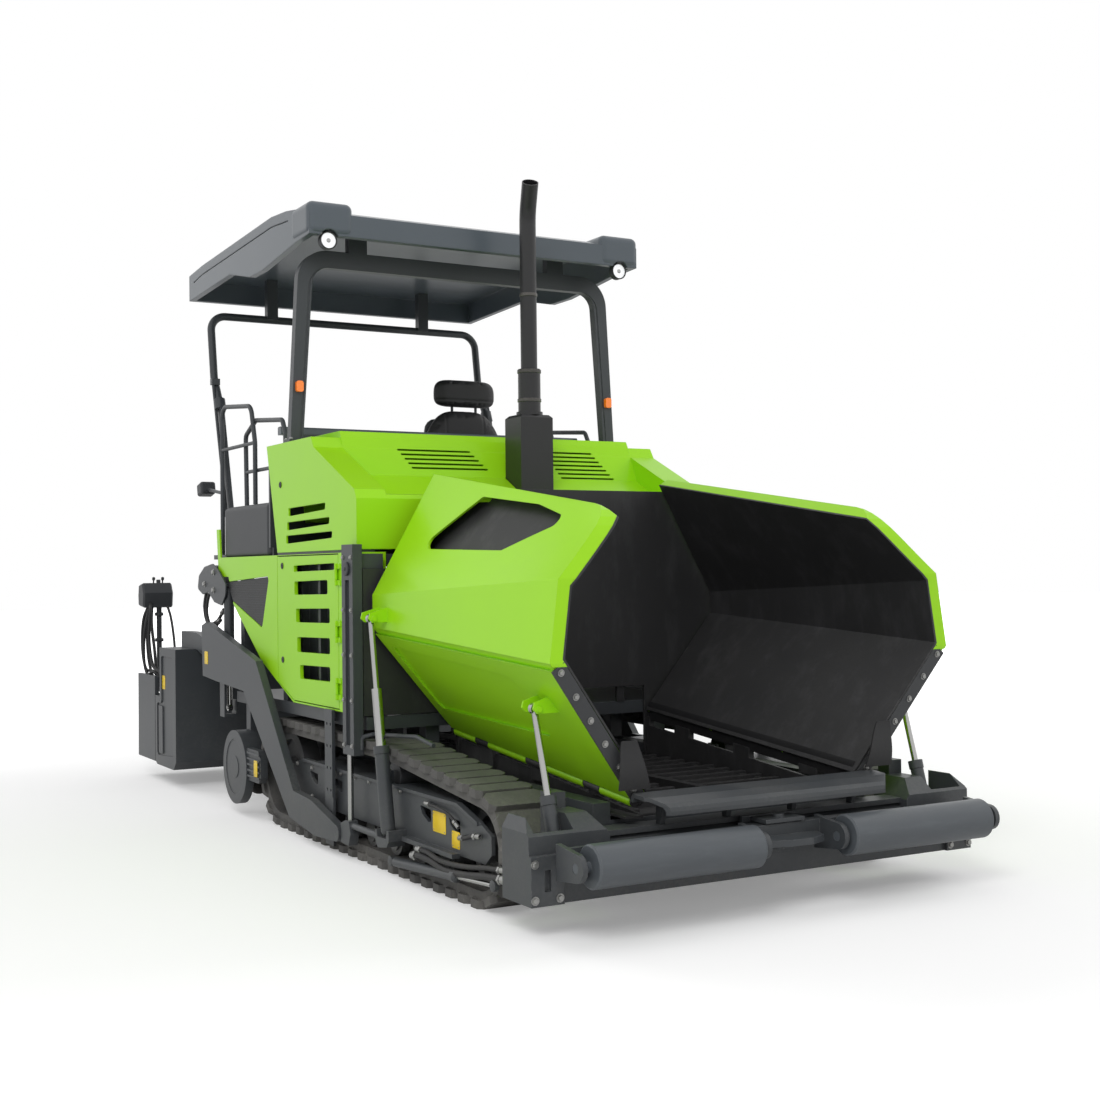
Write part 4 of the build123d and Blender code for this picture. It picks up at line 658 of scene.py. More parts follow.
class PAVER_OT_strips(bpy.types.Operator):
    """Dark bolted strips on the wings' front edges and the rubber flaps below them"""
    bl_idname = "paver.strips"
    bl_label = "Front strips and flaps"

    def execute(self, context):
        sizes = context.scene.paver_sizes
        foot, knee = np.array(WING_FOOT), np.array(WING_KNEE)
        along = unit(knee - foot)
        outward = np.array((along[1], -along[0]))
        line = foot + along * np.linspace(*STRIP_RUN, 16)[:, None]
        outer, inner = line + outward * STRIP_OUT, line - outward * STRIP_IN
        corners = ((outer, STRIP_FRONT), (inner, STRIP_FRONT), (inner, STRIP_BACK), (outer, STRIP_BACK))
        strip = loft(np.stack([on_front_edge(edge, back) for edge, back in corners], axis=1))
        marks = foot + along * np.linspace(*HEAD_RUN, 6)[:, None] - outward * HEAD_IN
        heads = repeat(bolt(sizes.strip_bolt), on_front_edge(marks, HEAD_BACK), (1.0, 0.0, -LEAN))
        for side, turn in SIDES:
            wing = "wing_" + side
            piece("front_strip_" + side, turn([strip]), "dark_steel", wing, 30.0)
            piece("strip_bolts_" + side, turn([heads]), "bright_bolt", wing)
            piece("rubber_flap_" + side, turn([flap()]), "hose_rubber", wing)
        return {"FINISHED"}


# ------------------------------------------------------------------ plates
PLATES = (   # body, y of the face, then x, z, width and height of each plate on it
    ("machine", 1.1502, ((1.912, 0.335, 0.141, 0.100), (2.091, 0.278, 0.083, 0.081))),
    ("machine", 1.2322, ((-0.545, 0.330, 0.062, 0.100),)),
    ("screed", 1.2432, ((-1.515, 0.975, 0.070, 0.085),)),
    ("screed", 1.2402, ((-2.585, 0.745, 0.080, 0.100),)),
)
RIVET = ((0, 0.0036), (0.0012, 0.0030), (0.0018, 0.0005))
RIVET_INSET, RIVET_LIFT = 0.011, 0.0020


class PAVER_OT_plates(bpy.types.Operator):
    """Blank yellow plates with a rivet in each corner"""
    bl_idname = "paver.plates"
    bl_label = "Yellow plates"

    def execute(self, context):
        sizes = context.scene.paver_sizes
        plates, rivets = {"machine": [], "screed": []}, {"machine": [], "screed": []}
        rivet = lathe(RIVET, ORIGIN, UP, 10)
        for body, y, places in PLATES:
            for x, z, wide, high in places:
                outline = soft_rectangle(wide, high, sizes.plate_corner)
                plates[body].append(pressed(outline, (x, y, z), LEFT, UP, sizes.plate_thick,
                                            sizes.plate_chamfer))
                across, rise = wide / 2 - RIVET_INSET, high / 2 - RIVET_INSET
                corners = [(x + sx * across, y + RIVET_LIFT, z + sz * rise) for sx in (-1, 1) for sz in (-1, 1)]
                rivets[body].append(repeat(rivet, corners, LEFT))
        for body in plates:
            piece("yellow_plates_" + body, both(plates[body]), "yellow_plate", body)
            piece("plate_rivets_" + body, both(rivets[body]), "bright_bolt", body)
        return {"FINISHED"}


# ------------------------------------------------------------------ bolts
LIFT_BRACKET_Y, TRACK_FRAME_Y, COLUMN_Y = 1.1902, 1.1502, 1.2322   # outer faces, with the bolts' seat
BEAM_X, PANEL_X, ARCH_FOOT_Z = 2.9952, 0.9602, 2.3452


def bolt_rows(sizes):
    """Rows of (head radius, the way the heads stand, places) on the machine's left side."""
    return (
        (sizes.bracket_bolt, LEFT, [(-1.505, LIFT_BRACKET_Y, 1.553), (-1.712, LIFT_BRACKET_Y, 1.472),
                                    (-1.508, LIFT_BRACKET_Y, 1.431)]),
        (sizes.beam_bolt, FORWARD, [(BEAM_X, y, z) for y in (1.112, 1.232) for z in (0.168, 0.318)]),
        (sizes.track_bolt, LEFT, [(x, TRACK_FRAME_Y, z) for x in (-0.02, 0.22) for z in (0.250, 0.415)]),
        (sizes.track_bolt, LEFT, [(x, TRACK_FRAME_Y, 0.432) for x in np.arange(0.46, 1.50, 0.20)]),
        (sizes.column_bolt, LEFT, [(x, COLUMN_Y, z) for x in (0.915, 1.026)
                                   for z in (0.62, 0.86, 1.10, 1.34, 1.62)]),
        (sizes.column_bolt, UP, [(x, y, ARCH_FOOT_Z) for x in (-0.180, -0.100) for y in (1.045, 1.146)]),
        (sizes.panel_bolt, FORWARD, [(PANEL_X, y, z) for y in (1.03, 1.14) for z in (0.86, 1.12, 1.40)]),
    )


class PAVER_OT_bolts(bpy.types.Operator):
    """Rows of bolts on the frames, brackets and posts"""
    bl_idname = "paver.bolts"
    bl_label = "Bolts"

    def execute(self, context):
        rows = bolt_rows(context.scene.paver_sizes)
        heads = [repeat(bolt(size), places, normal) for size, normal, places in rows]
        piece("frame_bolts", both(heads), "bright_bolt", "machine")
        return {"FINISHED"}


# ------------------------------------------------------------------ augers
AUGER_X, _, AUGER_Z = next(joint["pos_m"] for joint in frame["joints"] if joint["name"] == "auger_spin_left")
AUGER_SHAFT = ((0.0, 0.040), (0.004, 0.045), (1.091, 0.045), (1.095, 0.040))
SHAFT_Y, FLIGHT_Y = 0.070, 0.110                        # inner ends of the shaft and of its flight
FLIGHT_TURNS, FLIGHT_STEPS = 3.35, 135
ROOT_HALF, RIM_HALF = 0.010, 0.004                      # half the flight's thickness at the shaft and the rim


def flight(hand, core, rim, pitch):
    """Screw flight: a four-cornered section carried round the shaft and along it by a constant pitch."""
    angle = np.linspace(0.0, 2 * math.pi * FLIGHT_TURNS, FLIGHT_STEPS)
    along = pitch * angle / (2 * math.pi)
    section = ((core, -ROOT_HALF), (rim, -RIM_HALF), (rim, RIM_HALF), (core, ROOT_HALF))
    return loft(np.stack([
        np.column_stack((AUGER_X + radius * np.cos(angle), FLIGHT_Y + along + lift,
                         AUGER_Z + hand * radius * np.sin(angle)))
        for radius, lift in section], axis=1))


class PAVER_OT_augers(bpy.types.Operator):
    """Screw flights of the augers, left-handed and right-handed, on their shafts"""
    bl_idname = "paver.augers"
    bl_label = "Augers"

    def execute(self, context):
        sizes = context.scene.paver_sizes
        shaft = lathe(AUGER_SHAFT, (AUGER_X, SHAFT_Y, AUGER_Z), LEFT, 32)
        for (side, turn), hand in zip(SIDES, (1, -1)):
            screw = flight(hand, sizes.auger_core, sizes.auger_rim, sizes.auger_pitch)
            auger = "auger_" + side
            piece("auger_screw_" + side, turn([shaft, screw]), "worn_steel", auger,
                  replaces=(auger,))
        return {"FINISHED"}


# ------------------------------------------------------------------ lamps
HEAD_LAMP = (0.190, 1.010, 3.493)
BEZEL = ((-0.003, 0.0505), (-0.003, 0.0530), (0.003, 0.0530), (0.005, 0.0505), (0.004, 0.0470),
         (0.000, 0.0460))
BULB_CAP = ((0.0, 0.013), (0.0014, 0.013), (0.0024, 0.010), (0.0028, 0.001))
BULB_BACK = 0.0018                                      # the cap's foot behind the lamp's face
WORK_LAMP, WORK_LAMP_TILT = (-2.120, 1.050, 2.150), math.radians(12.0)
WORK_LENS = (0.084, 0.064, 0.014)                       # width, height and corner radius
WORK_LENS_OUT, WORK_LENS_THICK, WORK_LENS_CHAMFER = 0.0545, 0.004, 0.002


class PAVER_OT_lamps(bpy.types.Operator):
    """Black bezels and bright bulb caps of the head lamps, and the rear work lamps' lenses"""
    bl_idname = "paver.lamps"
    bl_label = "Lamps"

    def execute(self, context):
        x, y, z = HEAD_LAMP
        bezel = ring(BEZEL, HEAD_LAMP, FORWARD)
        cap = lathe(BULB_CAP, (x - BULB_BACK, y, z), FORWARD)
        piece("lamp_bezels", both([bezel]), "exhaust_black", "machine")
        piece("lamp_caps", both([cap]), "chrome_rod", "machine")
        c, s = math.cos(WORK_LAMP_TILT), math.sin(WORK_LAMP_TILT)
        facing, upright = np.array((-c, 0.0, -s)), np.array((-s, 0.0, c))
        centre = np.array(WORK_LAMP) + facing * WORK_LENS_OUT
        lens = pressed(soft_rectangle(*WORK_LENS), centre, facing, upright, WORK_LENS_THICK, WORK_LENS_CHAMFER)
        piece("work_lamp_lenses", both([lens]), "lamp_glass", "machine")
        return {"FINISHED"}


# ------------------------------------------------------------------ hoses
TRACK_SIDE_Y = 1.196                                    # plane of the hoses and the cylinder beside the track
TRACK_HOSES = (   # radius, then x, distance from that plane and z along the route
    (0.0165, ((1.700, 0.0, 0.150), (1.80, 0.006, 0.162), (1.93, 0.008, 0.158), (2.08, 0.006, 0.140),
              (2.28, 0.004, 0.152), (2.50, 0.0, 0.180), (2.66, -0.006, 0.190))),
    (0.0125, ((1.745, -0.004, 0.188), (1.88, 0.004, 0.192), (2.04, 0.006, 0.176), (2.26, 0.0, 0.186),
              (2.48, -0.006, 0.214), (2.64, -0.012, 0.228))),
    (0.0100, ((2.160, -0.028, 0.300), (2.24, -0.020, 0.312), (2.31, -0.020, 0.330), (2.37, -0.030, 0.335))),
    (0.0080, ((2.150, -0.030, 0.345), (2.06, -0.026, 0.392), (1.92, -0.028, 0.410), (1.78, -0.030, 0.414))),
)
LIFT_HOSES = (    # loops that hang at the lift bracket
    (0.011, ((-1.70, 1.145, 1.50), (-1.80, 1.150, 1.42), (-1.82, 1.160, 1.30), (-1.72, 1.165, 1.20),
             (-1.56, 1.152, 1.22), (-1.43, 1.145, 1.30))),
    (0.011, ((-1.66, 1.150, 1.46), (-1.74, 1.162, 1.36), (-1.72, 1.172, 1.25), (-1.60, 1.170, 1.17),
             (-1.46, 1.160, 1.23))),
)
LOCK_START, LOCK_END = (1.454, 0.002, 0.082), (2.567, 0.002, 0.152)   # pins of the cylinder beside the track
LOCK_EYE = ((-0.014, 0.022), (-0.012, 0.026), (0.012, 0.026), (0.014, 0.022))


def routed(hoses, origin):
    """Radii and routes, with the routes moved to an origin."""
    return [(radius, np.asarray(points, float) + origin) for radius, points in hoses]


def fitting(place, direction, r):
    """Sleeve and hexagon nut at a hose's end, sized by the hose's radius."""
    sleeve = ((0.0, 1.1 * r), (0.003, 1.25 * r), (0.030, 1.25 * r), (0.034, 1.05 * r))
    nut = ((0.034, 1.5 * r), (0.050, 1.5 * r), (0.052, 1.3 * r))
    return [lathe(sleeve, place, direction, 18), lathe(nut, place, direction, 6)]


class PAVER_OT_hoses(bpy.types.Operator):
    """Hydraulic hoses with bright end fittings, beside the tracks and at the lift brackets"""
    bl_idname = "paver.hoses"
    bl_label = "Hoses and fittings"

    def execute(self, context):
        hoses, fittings = [], []
        for radius, points in routed(TRACK_HOSES, (0.0, TRACK_SIDE_Y, 0.0)) + routed(LIFT_HOSES, ORIGIN):
            hoses.append(hose(points, radius))
            fittings += fitting(points[0], points[1] - points[0], radius)
            fittings += fitting(points[-1], points[-2] - points[-1], radius)
        piece("machine_hoses", both(hoses), "hose_rubber", "machine", 60.0)
        piece("machine_fittings", both(fittings), "bright_bolt", "machine", 30.0)
        return {"FINISHED"}


class PAVER_OT_cylinders(bpy.types.Operator):
    """Lock cylinders beside the tracks: a collared barrel, its rod and an eye at each end"""
    bl_idname = "paver.cylinders"
    bl_label = "Lock cylinders"

    def execute(self, context):
        start, end = (np.array(pin) + (0.0, TRACK_SIDE_Y, 0.0) for pin in (LOCK_START, LOCK_END))
        along = end - start
        long = float(np.linalg.norm(along))
        profile = ((0.040, 0.012), (0.050, 0.024), (0.62 * long, 0.024), (0.63 * long, 0.029),
                   (0.66 * long, 0.029), (0.67 * long, 0.014))
        barrel = [lathe(profile, start, along), *(lathe(LOCK_EYE, place, LEFT) for place in (start, end))]
        rod = [lathe([(0.665 * long, 0.011), (long - 0.030, 0.011)], start, along, 20)]
        piece("lock_barrels", both(barrel), "frame_grey", "machine")
        piece("lock_rods", both(rod), "chrome_rod", "machine")
        return {"FINISHED"}


# ------------------------------------------------------------------ screed controls
POST_X, POST_Y = -3.210, 1.100                          # the upright that carries a control pod
POD_SIDE = ((-0.080, 1.300), (0.060, 1.286), (0.076, 1.400), (0.030, 1.476), (-0.070, 1.462), (-0.088, 1.380))
POD_RINGS = ((-0.092, 0.86), (-0.080, 1.0), (0.128, 1.0), (0.140, 0.86))   # y from the post, share of the side
POST_HOSES = (    # radius, then x and y from the post and z along the route
    (0.012, ((-0.02, 0.060, 1.32), (-0.03, 0.085, 1.15), (0.02, 0.090, 0.90), (0.14, 0.080, 0.735),
             (0.30, 0.060, 0.72), (0.44, 0.050, 0.690))),
    (0.012, ((0.02, 0.060, 1.31), (0.08, 0.080, 1.16), (0.17, 0.085, 0.98), (0.22, 0.080, 0.82),
             (0.34, 0.055, 0.745), (0.50, 0.030, 0.690))),
    (0.010, ((0.04, -0.050, 1.31), (0.12, -0.060, 1.20), (0.24, -0.050, 1.02), (0.30, -0.040, 0.84),
             (0.40, -0.020, 0.745), (0.58, -0.010, 0.690))),
)
LOOP_RADIUS = 0.0115
LOOPS = ((0.125, 0.05, 0.02), (0.135, 0.12, 0.10), (0.120, -0.02, 0.20))   # reach out, drop, shift ahead
POST_CLAMP = ((0.0, 0.030), (0.004, 0.033), (0.022, 0.033), (0.026, 0.030))
CLAMP_HEIGHTS = (0.80, 1.02, 1.22)
LEVER = ((0.0, 0.006), (0.055, 0.005), (0.060, 0.011), (0.078, 0.012), (0.084, 0.004))
LEVER_FEET, LEVER_LEAN = ((-0.035, 0.035, 1.440), (-0.035, -0.035, 1.440)), (0.2, 0.0, 1.0)


def loop(out, drop, ahead):
    """Hose that leaves the pod, hangs outside the post and comes back in over the screed."""
    points = ((0.03, 0.075, 1.33), (ahead - 0.01, out, 1.24 - drop), (ahead - 0.045, out, 1.02 - drop),
              (ahead + 0.02, out - 0.01, 0.84 - drop / 2), (ahead + 0.16, out - 0.03, 0.80),
              (ahead + 0.30, 0.04, 0.700))
    return LOOP_RADIUS, points


def pod():
    """Control pod: a six-sided outline carried across, smaller at both ends."""
    side = np.array(POD_SIDE)
    middle = side.mean(axis=0)
    rings = [(middle + (side - middle) * share, dy) for dy, share in POD_RINGS]
    return loft(np.stack([np.column_stack((POST_X + edge[:, 0], np.full(len(edge), POST_Y + dy), edge[:, 1]))
                          for edge, dy in rings]))


class PAVER_OT_controls(bpy.types.Operator):
    """Screed control pods with their hoses, clamps and levers"""
    bl_idname = "paver.controls"
    bl_label = "Screed controls"

    def execute(self, context):
        post = np.array((POST_X, POST_Y, 0.0))
        routes = POST_HOSES + tuple(loop(*row) for row in LOOPS)
        hoses = [hose(points, radius) for radius, points in routed(routes, post)]
        clamps = [lathe(POST_CLAMP, (POST_X, POST_Y, z), UP) for z in CLAMP_HEIGHTS]
        levers = [lathe(LEVER, post + foot, LEVER_LEAN, 16) for foot in LEVER_FEET]
        piece("control_pods", both([pod()]), "bin_plastic", "screed", 30.0)
        piece("control_hoses", both(hoses), "hose_rubber", "screed", 60.0)
        piece("control_clamps", both(clamps + levers), "bin_plastic", "screed")
        return {"FINISHED"}


# ------------------------------------------------------------------ small fittings
LATCH = ((0.0, 0.019), (0.003, 0.019), (0.005, 0.016), (0.003, 0.012), (0.003, 0.004), (0.006, 0.003))
LATCH_Y = 1.1702                                        # outer face of the doors and the hood
DOOR_LATCHES = ((-0.205, LATCH_Y, 1.020), (-0.205, LATCH_Y, 1.585))
HOOD_LATCH = (-0.225, LATCH_Y, 2.075)
HINGE_REAR, HINGE_FRONT = (1.082, 0.647, 0.675), (2.864, 0.647, 0.511)   # ends of the wing's hinge line
SKIRT = (   # y, z of the skirt's section from the hinge line
    (-0.028, 0.090), (-0.041, 0.062), (-0.038, 0.020), (-0.031, -0.018),
    (-0.027, -0.017), (-0.033, 0.020), (-0.036, 0.060), (-0.024, 0.088),
)
BOSS = ((0.0, 0.036), (0.006, 0.038), (0.012, 0.034), (0.013, 0.010), (0.017, 0.009))
BOSS_PLACE = (0.970, COLUMN_Y, 1.560)
SILL = ((-0.532, 2.404), (-0.474, 2.404), (-0.474, 2.446), (-0.482, 2.455), (-0.526, 2.455), (-0.532, 2.448))
SILL_HALF = 1.075
EXHAUST = (0.510, 0.150)                                # x, y of the exhaust's axis
EXHAUST_CLAMPS = ((2.735, 0.0685), (2.560, 0.0685), (3.20, 0.0505))      # z and inner radius


def skirt():
    """Rubber skirt: its section carried along the straight hinge line."""
    share = np.linspace(0.0, 1.0, 12)[:, None]
    line = (1 - share) * np.array(HINGE_REAR) + share * np.array(HINGE_FRONT)
    return loft(np.stack([line + np.array((0.0, dy, dz)) for dy, dz in SKIRT], axis=1))


class PAVER_OT_fittings(bpy.types.Operator):
    """Door locks, hinge skirts, column bosses, hood plugs, the sill's band and the exhaust's clamps"""
    bl_idname = "paver.fittings"
    bl_label = "Locks, skirts, bosses and clamps"

    def execute(self, context):
        for side, turn in SIDES:
            locks = [lathe(LATCH, place, LEFT, 28) for place in DOOR_LATCHES]
            piece("door_locks_" + side, turn(locks), "bin_plastic", "side_door_" + side)
            piece("hinge_skirt_" + side, turn([skirt()]), "hose_rubber", "wing_" + side, 50.0)
        boss = lathe(BOSS, BOSS_PLACE, LEFT, 32)
        piece("column_bosses", both([boss]), "bin_plastic", "machine")
        plug = lathe(LATCH, HOOD_LATCH, LEFT, 28)
        piece("hood_plugs", both([plug]), "bin_plastic", "machine")
        band = np.array(SILL)
        sill = np.stack([np.column_stack((band[:, 0], np.full(len(band), y), band[:, 1]))
                         for y in np.linspace(-SILL_HALF, SILL_HALF, 9)])
        piece("sill_band", [loft(sill)], "canopy_grey", "machine", 50.0)
        clamps = [lathe(((0.0, r), (0.002, r + 0.004), (0.020, r + 0.004), (0.022, r)), (*EXHAUST, z), UP, 40)
                  for z, r in EXHAUST_CLAMPS]
        piece("exhaust_clamps", clamps, "worn_steel", "machine")
        return {"FINISHED"}


# ------------------------------------------------------------------ seat
# name, centre, facing, up, half sizes, width left at the top, and the channels' axis and places
PADS = (
    ("seat_cushion", (-1.088, 0.580, 2.142), UP, FORWARD, (0.238, 0.172, 0.050), 1.0, 1, (0.455, 0.705)),
    ("seat_back", (-1.262, 0.580, 2.462), FORWARD, UP, (0.306, 0.244, 0.046), 0.70, 1, (0.430, 0.730)),
    ("seat_head_pad", (-1.262, 0.595, 2.822), FORWARD, UP, (0.250, 0.108, 0.040), 0.94, 2, (2.772,)),
)
# width, height and corner radius, then centre, facing, up, thickness and chamfer
SEAT_PLATES = (
    ((0.220, 0.300, 0.03), (-1.300, 0.590, 2.190), FORWARD, UP, 0.036, 0.006),   # spine
    ((0.560, 0.400, 0.09), (-1.318, 0.580, 2.440), FORWARD, UP, 0.022, 0.008),   # shell behind the back
    ((0.460, 0.330, 0.06), (-1.090, 0.580, 2.082), UP, FORWARD, 0.020, 0.004),   # pan under the cushion
)
STEM, STEM_FEET = ((0.0, 0.010), (0.14, 0.010)), ((-1.268, 0.500, 2.64), (-1.268, 0.690, 2.64))
PEDESTAL = ((0.0, 0.130), (0.012, 0.130), (0.030, 0.095), (0.150, 0.088), (0.330, 0.088), (0.345, 0.105),
            (0.414, 0.120))
PEDESTAL_FOOT = (-1.110, 0.575, 1.671)
SWELL_FRAMES = 20
CHANNEL_FADE = 0.02                                     # depth over which a pad's facing side begins


def pillow(centre, normal, up, half_sizes, top, corner=4.0, rings=28, around=72):
    """Crowned pad: rings shrink to a point in front and behind. A ring is a superellipse, narrower at its
    top by the share given, and its depth is that of an upright superellipse over the ring's size."""
    half_wide, half_high, half_deep = half_sizes
    normal, up = unit(normal), unit(up)
    side = np.cross(up, normal)
    t = np.linspace(-1.0, 1.0, rings)[:, None] * math.pi / 2
    size = np.maximum(np.cos(t), 0.004) ** 0.42
    depth = half_deep * np.sign(np.sin(t)) * np.abs(np.sin(t)) ** 0.9
    angle = np.linspace(0.0, 2 * math.pi, around, endpoint=False)[None]
    power = 2.0 / corner
    a = np.sign(np.cos(angle)) * np.abs(np.cos(angle)) ** power
    b = np.sign(np.sin(angle)) * np.abs(np.sin(angle)) ** power
    wide = half_wide * (1.0 - (1.0 - top) * np.clip((b - 0.2) / 0.8, 0.0, 1.0))
    return loft(np.asarray(centre, float) + (size * a * wide)[..., None] * side
                + (size * b * half_high)[..., None] * up + (depth + 0.0 * angle)[..., None] * normal)


def settled_mesh(obj):
    """The object's shape with its modifiers, as a mesh of its own."""
    graph = bpy.context.evaluated_depsgraph_get()
    return bpy.data.meshes.new_from_object(obj.evaluated_get(graph))


def coordinates(mesh):
    """The mesh's points, one in each row."""
    flat = np.empty(len(mesh.vertices) * 3, dtype=np.float32)
    mesh.vertices.foreach_get("co", flat)
    return flat.reshape(-1, 3)


def swell(obj, voxel, cap, pressure):
    """Even out the skin, then let cloth pressure fill it; no point moves further than the cap."""
    remesh = obj.modifiers.new("even", "REMESH")
    remesh.mode = "VOXEL"
    remesh.voxel_size = voxel
    mesh = settled_mesh(obj)
    obj.modifiers.clear()
    obj.data = mesh
    before = coordinates(mesh).copy()
    cloth = obj.modifiers.new("swell", "CLOTH")
    cloth.settings.use_pressure = True
    cloth.settings.uniform_pressure_force = pressure
    cloth.settings.effector_weights.gravity = 0.0
    cloth.point_cache.frame_start = 1
    cloth.point_cache.frame_end = SWELL_FRAMES
    for step in range(1, SWELL_FRAMES + 1):
        bpy.context.scene.frame_set(step)
    after = coordinates(settled_mesh(obj))
    obj.modifiers.clear()
    bpy.context.scene.frame_set(1)
    move = after - before
    reach = np.linalg.norm(move, axis=1, keepdims=True)
    capped = before + move * np.minimum(1.0, cap / np.maximum(reach, 1e-6))
    mesh.vertices.foreach_set("co", capped.ravel())
    mesh.update()


def channels(obj, axis, facing, lines, depth, width):
    """Press sewn channels in: each line sinks the skin on the facing side by a bell of the given width."""
    points = coordinates(obj.data)
    facing = unit(facing)
    front = np.clip(((points - points.mean(axis=0)) @ facing) / CHANNEL_FADE, 0.0, 1.0)
    sink = sum(np.exp(-((points[:, axis] - line) / width) ** 2) for line in lines)
    points = points - (front * sink * depth)[:, None] * facing
    obj.data.vertices.foreach_set("co", points.astype(np.float32).ravel())
    obj.data.update()


class PAVER_OT_seat(bpy.types.Operator):
    """Leather seat: padded cushion, back and head pad on their shell, spine and pedestal"""
    bl_idname = "paver.seat"
    bl_label = "Driver's seat"

    def execute(self, context):
        sizes = context.scene.paver_sizes
        for name, centre, facing, up, half_sizes, top, axis, lines in PADS:
            obj = piece(name, [pillow(centre, facing, up, half_sizes, top)], "seat_leather", "machine",
                        180.0, replaces=("seat",))
            swell(obj, sizes.skin_cell, sizes.swell_cap, sizes.swell_pressure)
            channels(obj, axis, facing, lines, sizes.channel_depth, sizes.channel_width)
            obj.data.materials.clear()
            obj.data.materials.append(MATERIALS["seat_leather"])
            obj.data.shade_smooth()
            soft = obj.modifiers.new("soft", "SUBSURF")
            soft.levels = soft.render_levels = 1
        plates = [pressed(soft_rectangle(*shape), *rest) for shape, *rest in SEAT_PLATES]
        stems = [lathe(STEM, foot, UP, 16) for foot in STEM_FEET]
        pedestal = lathe(PEDESTAL, PEDESTAL_FOOT, UP, 40)
        piece("seat_frame", [*plates, *stems, pedestal], "bin_plastic", "machine",
              replaces=("seat",))
        return {"FINISHED"}


# ------------------------------------------------------------------ stage
FLOOR_HALF = 60.0
WHITE_FROM, WHITE_TO = 4.5, 16.0                        # distances between which the seen floor turns white
# name, place, aim, power and size of each soft lamp
LAMPS = (
    ("key", (9.0, -7.0, 9.0), (0.5, 0.0, 1.2), 620.0, 5.0),
    ("fill", (3.0, 11.0, 7.0), (0.5, 0.0, 1.2), 420.0, 6.0),
    ("back", (-10.0, -4.0, 8.0), (0.0, 0.0, 1.5), 380.0, 5.0),
)
LAMP_SHINE = 0.25
SKY_LIGHT = 0.55                                        # strength of the sky where only its light is met


def placed(x, y, z, place):
    """Matrix whose columns are an object's own axes and its place."""
    matrix = np.eye(4)
    matrix[:3] = np.column_stack((x, y, z, place))
    return Matrix(matrix.tolist())


def floor_material(view):
    """Pale matt floor; the camera sees white added to it, more of it further out."""
    mat = bpy.data.materials.new("floor")
    mat.use_nodes = True
    tree = mat.node_tree
    shader = tree.nodes["Principled BSDF"]
    coords = add(tree, "ShaderNodeTexCoord")
    clouds = noise(tree, coords.outputs["Object"], 0.6, 3.0)
    tone = mix_colour(tree, clouds, tuple(c * 0.98 for c in view.floor), tuple(view.floor))
    link(tree, tone, shader.inputs["Base Color"])
    shader.inputs["Roughness"].default_value = 0.9
    shader.inputs["Emission Color"].default_value = WHITE
    path = add(tree, "ShaderNodeLightPath")
    away = add(tree, "ShaderNodeVectorMath", operation="LENGTH")
    link(tree, coords.outputs["Object"], away.inputs[0])
    lift = math_node(tree, "ADD", view.floor_lift, ramp(tree, away.outputs["Value"], WHITE_FROM, WHITE_TO))
    seen = math_node(tree, "MULTIPLY", path.outputs["Is Camera Ray"], lift)
    link(tree, seen, shader.inputs["Emission Strength"])
    return mat


def sky(scene):
    """Even studio light; the camera and reflections see white."""
    world = bpy.data.worlds.new("studio")
    world.use_nodes = True
    tree = world.node_tree
    background = tree.nodes["Background"]
    path = add(tree, "ShaderNodeLightPath")
    seen = math_node(tree, "MAXIMUM", path.outputs["Is Camera Ray"], path.outputs["Is Glossy Ray"])
    seen = math_node(tree, "MAXIMUM", seen, path.outputs["Is Transmission Ray"])
    strength = math_node(tree, "ADD", SKY_LIGHT, math_node(tree, "MULTIPLY", seen, 1.0 - SKY_LIGHT))
    background.inputs["Color"].default_value = WHITE
    link(tree, strength, background.inputs["Strength"])
    scene.world = world


def lamp(name, place, target, power, size):
    """Square soft lamp that points from its place at a target; reflections don't show it."""
    light = bpy.data.lights.new(name, "AREA")
    light.energy = power
    light.size = size
    light.specular_factor = LAMP_SHINE
    obj = bpy.data.objects.new(name, light)
    z = unit(np.subtract(place, target))
    x = unit(np.cross(UP, z))
    obj.matrix_world = placed(x, np.cross(z, x), z, place)
    obj.visible_glossy = False
    bpy.context.scene.collection.objects.link(obj)


def camera(scene, view):
    """Camera turned by yaw, pitch and roll about its own axes."""
    data = bpy.data.cameras.new("camera")
    data.lens = view.lens
    data.sensor_width = 36.0
    data.clip_end = 200.0
    obj = bpy.data.objects.new("camera", data)
    level = math.cos(view.pitch)
    forward = np.array((-math.sin(view.yaw) * level, math.cos(view.yaw) * level, -math.sin(view.pitch)))
    right = unit(np.cross(forward, UP))
    up = np.cross(right, forward)
    c, s = math.cos(view.roll), math.sin(view.roll)
    obj.matrix_world = placed(c * right + s * up, c * up - s * right, -forward, view.eye)
    scene.collection.objects.link(obj)
    scene.camera = obj


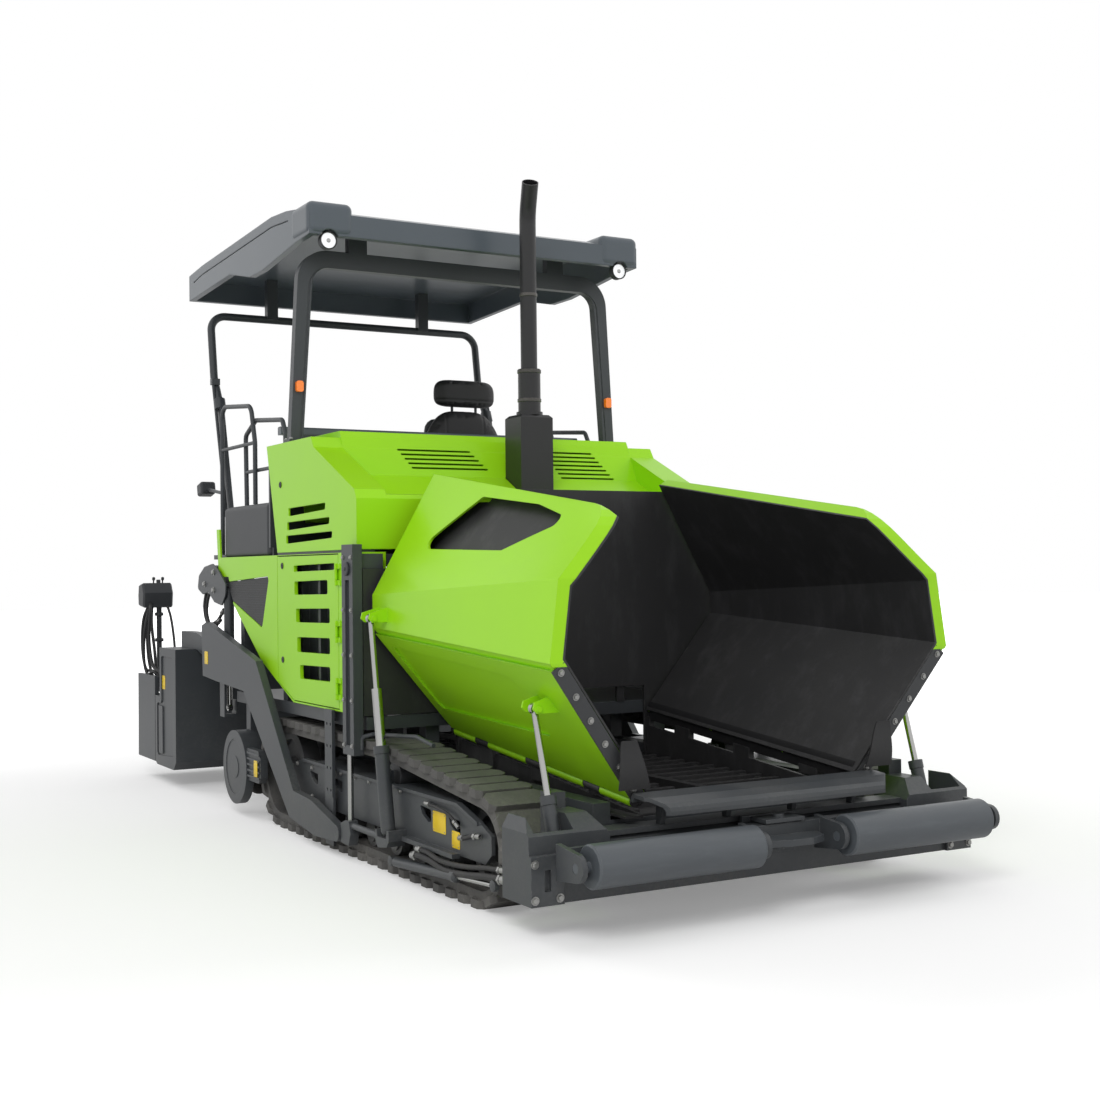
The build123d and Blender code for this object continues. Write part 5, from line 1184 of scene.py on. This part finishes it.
class PAVER_OT_stage(bpy.types.Operator):
    """Pale floor, soft lamps, even sky and the camera"""
    bl_idname = "paver.stage"
    bl_label = "Stage"

    def execute(self, context):
        scene = context.scene
        view = scene.paver_view
        mesh = bpy.data.meshes.new("floor")
        corners = [(sx * FLOOR_HALF, sy * FLOOR_HALF, 0) for sx, sy in ((-1, -1), (1, -1), (1, 1), (-1, 1))]
        mesh.from_pydata(corners, [], [(0, 1, 2, 3)])
        floor = bpy.data.objects.new("floor", mesh)
        scene.collection.objects.link(floor)
        mesh.materials.append(floor_material(view))
        sky(scene)
        for row in LAMPS:
            lamp(*row)
        camera(scene, view)
        scene.view_settings.view_transform = "Standard"
        return {"FINISHED"}


# ------------------------------------------------------------------ add-on
OPERATORS = (PAVER_OT_finishes, PAVER_OT_strips, PAVER_OT_plates, PAVER_OT_bolts, PAVER_OT_augers,
             PAVER_OT_lamps, PAVER_OT_hoses, PAVER_OT_cylinders, PAVER_OT_controls, PAVER_OT_fittings,
             PAVER_OT_seat, PAVER_OT_stage)
SETTINGS = {"paver_finishes": PAVER_PG_finishes, "paver_sizes": PAVER_PG_sizes, "paver_view": PAVER_PG_view}


class PAVER_PT_panel(bpy.types.Panel):
    """Lists the paver's builders"""
    bl_idname = "PAVER_PT_panel"
    bl_label = "Asphalt paver"
    bl_space_type = "VIEW_3D"
    bl_region_type = "UI"
    bl_category = "Paver"

    def draw(self, context):
        for operator in OPERATORS:
            self.layout.operator(operator.bl_idname)


CLASSES = (*SETTINGS.values(), *OPERATORS, PAVER_PT_panel)


def register():
    for cls in CLASSES:
        bpy.utils.register_class(cls)
    for name, group in SETTINGS.items():
        setattr(bpy.types.Scene, name, PointerProperty(type=group))


def unregister():
    for name in SETTINGS:
        delattr(bpy.types.Scene, name)
    for cls in reversed(CLASSES):
        bpy.utils.unregister_class(cls)


def run(operator):
    """Call an operator by its bl_idname."""
    space, name = operator.bl_idname.split(".")
    getattr(getattr(bpy.ops, space), name)()


def main():
    """Build everything in order."""
    register()
    for operator in OPERATORS:
        run(operator)


if __name__ == "__main__":
    main()
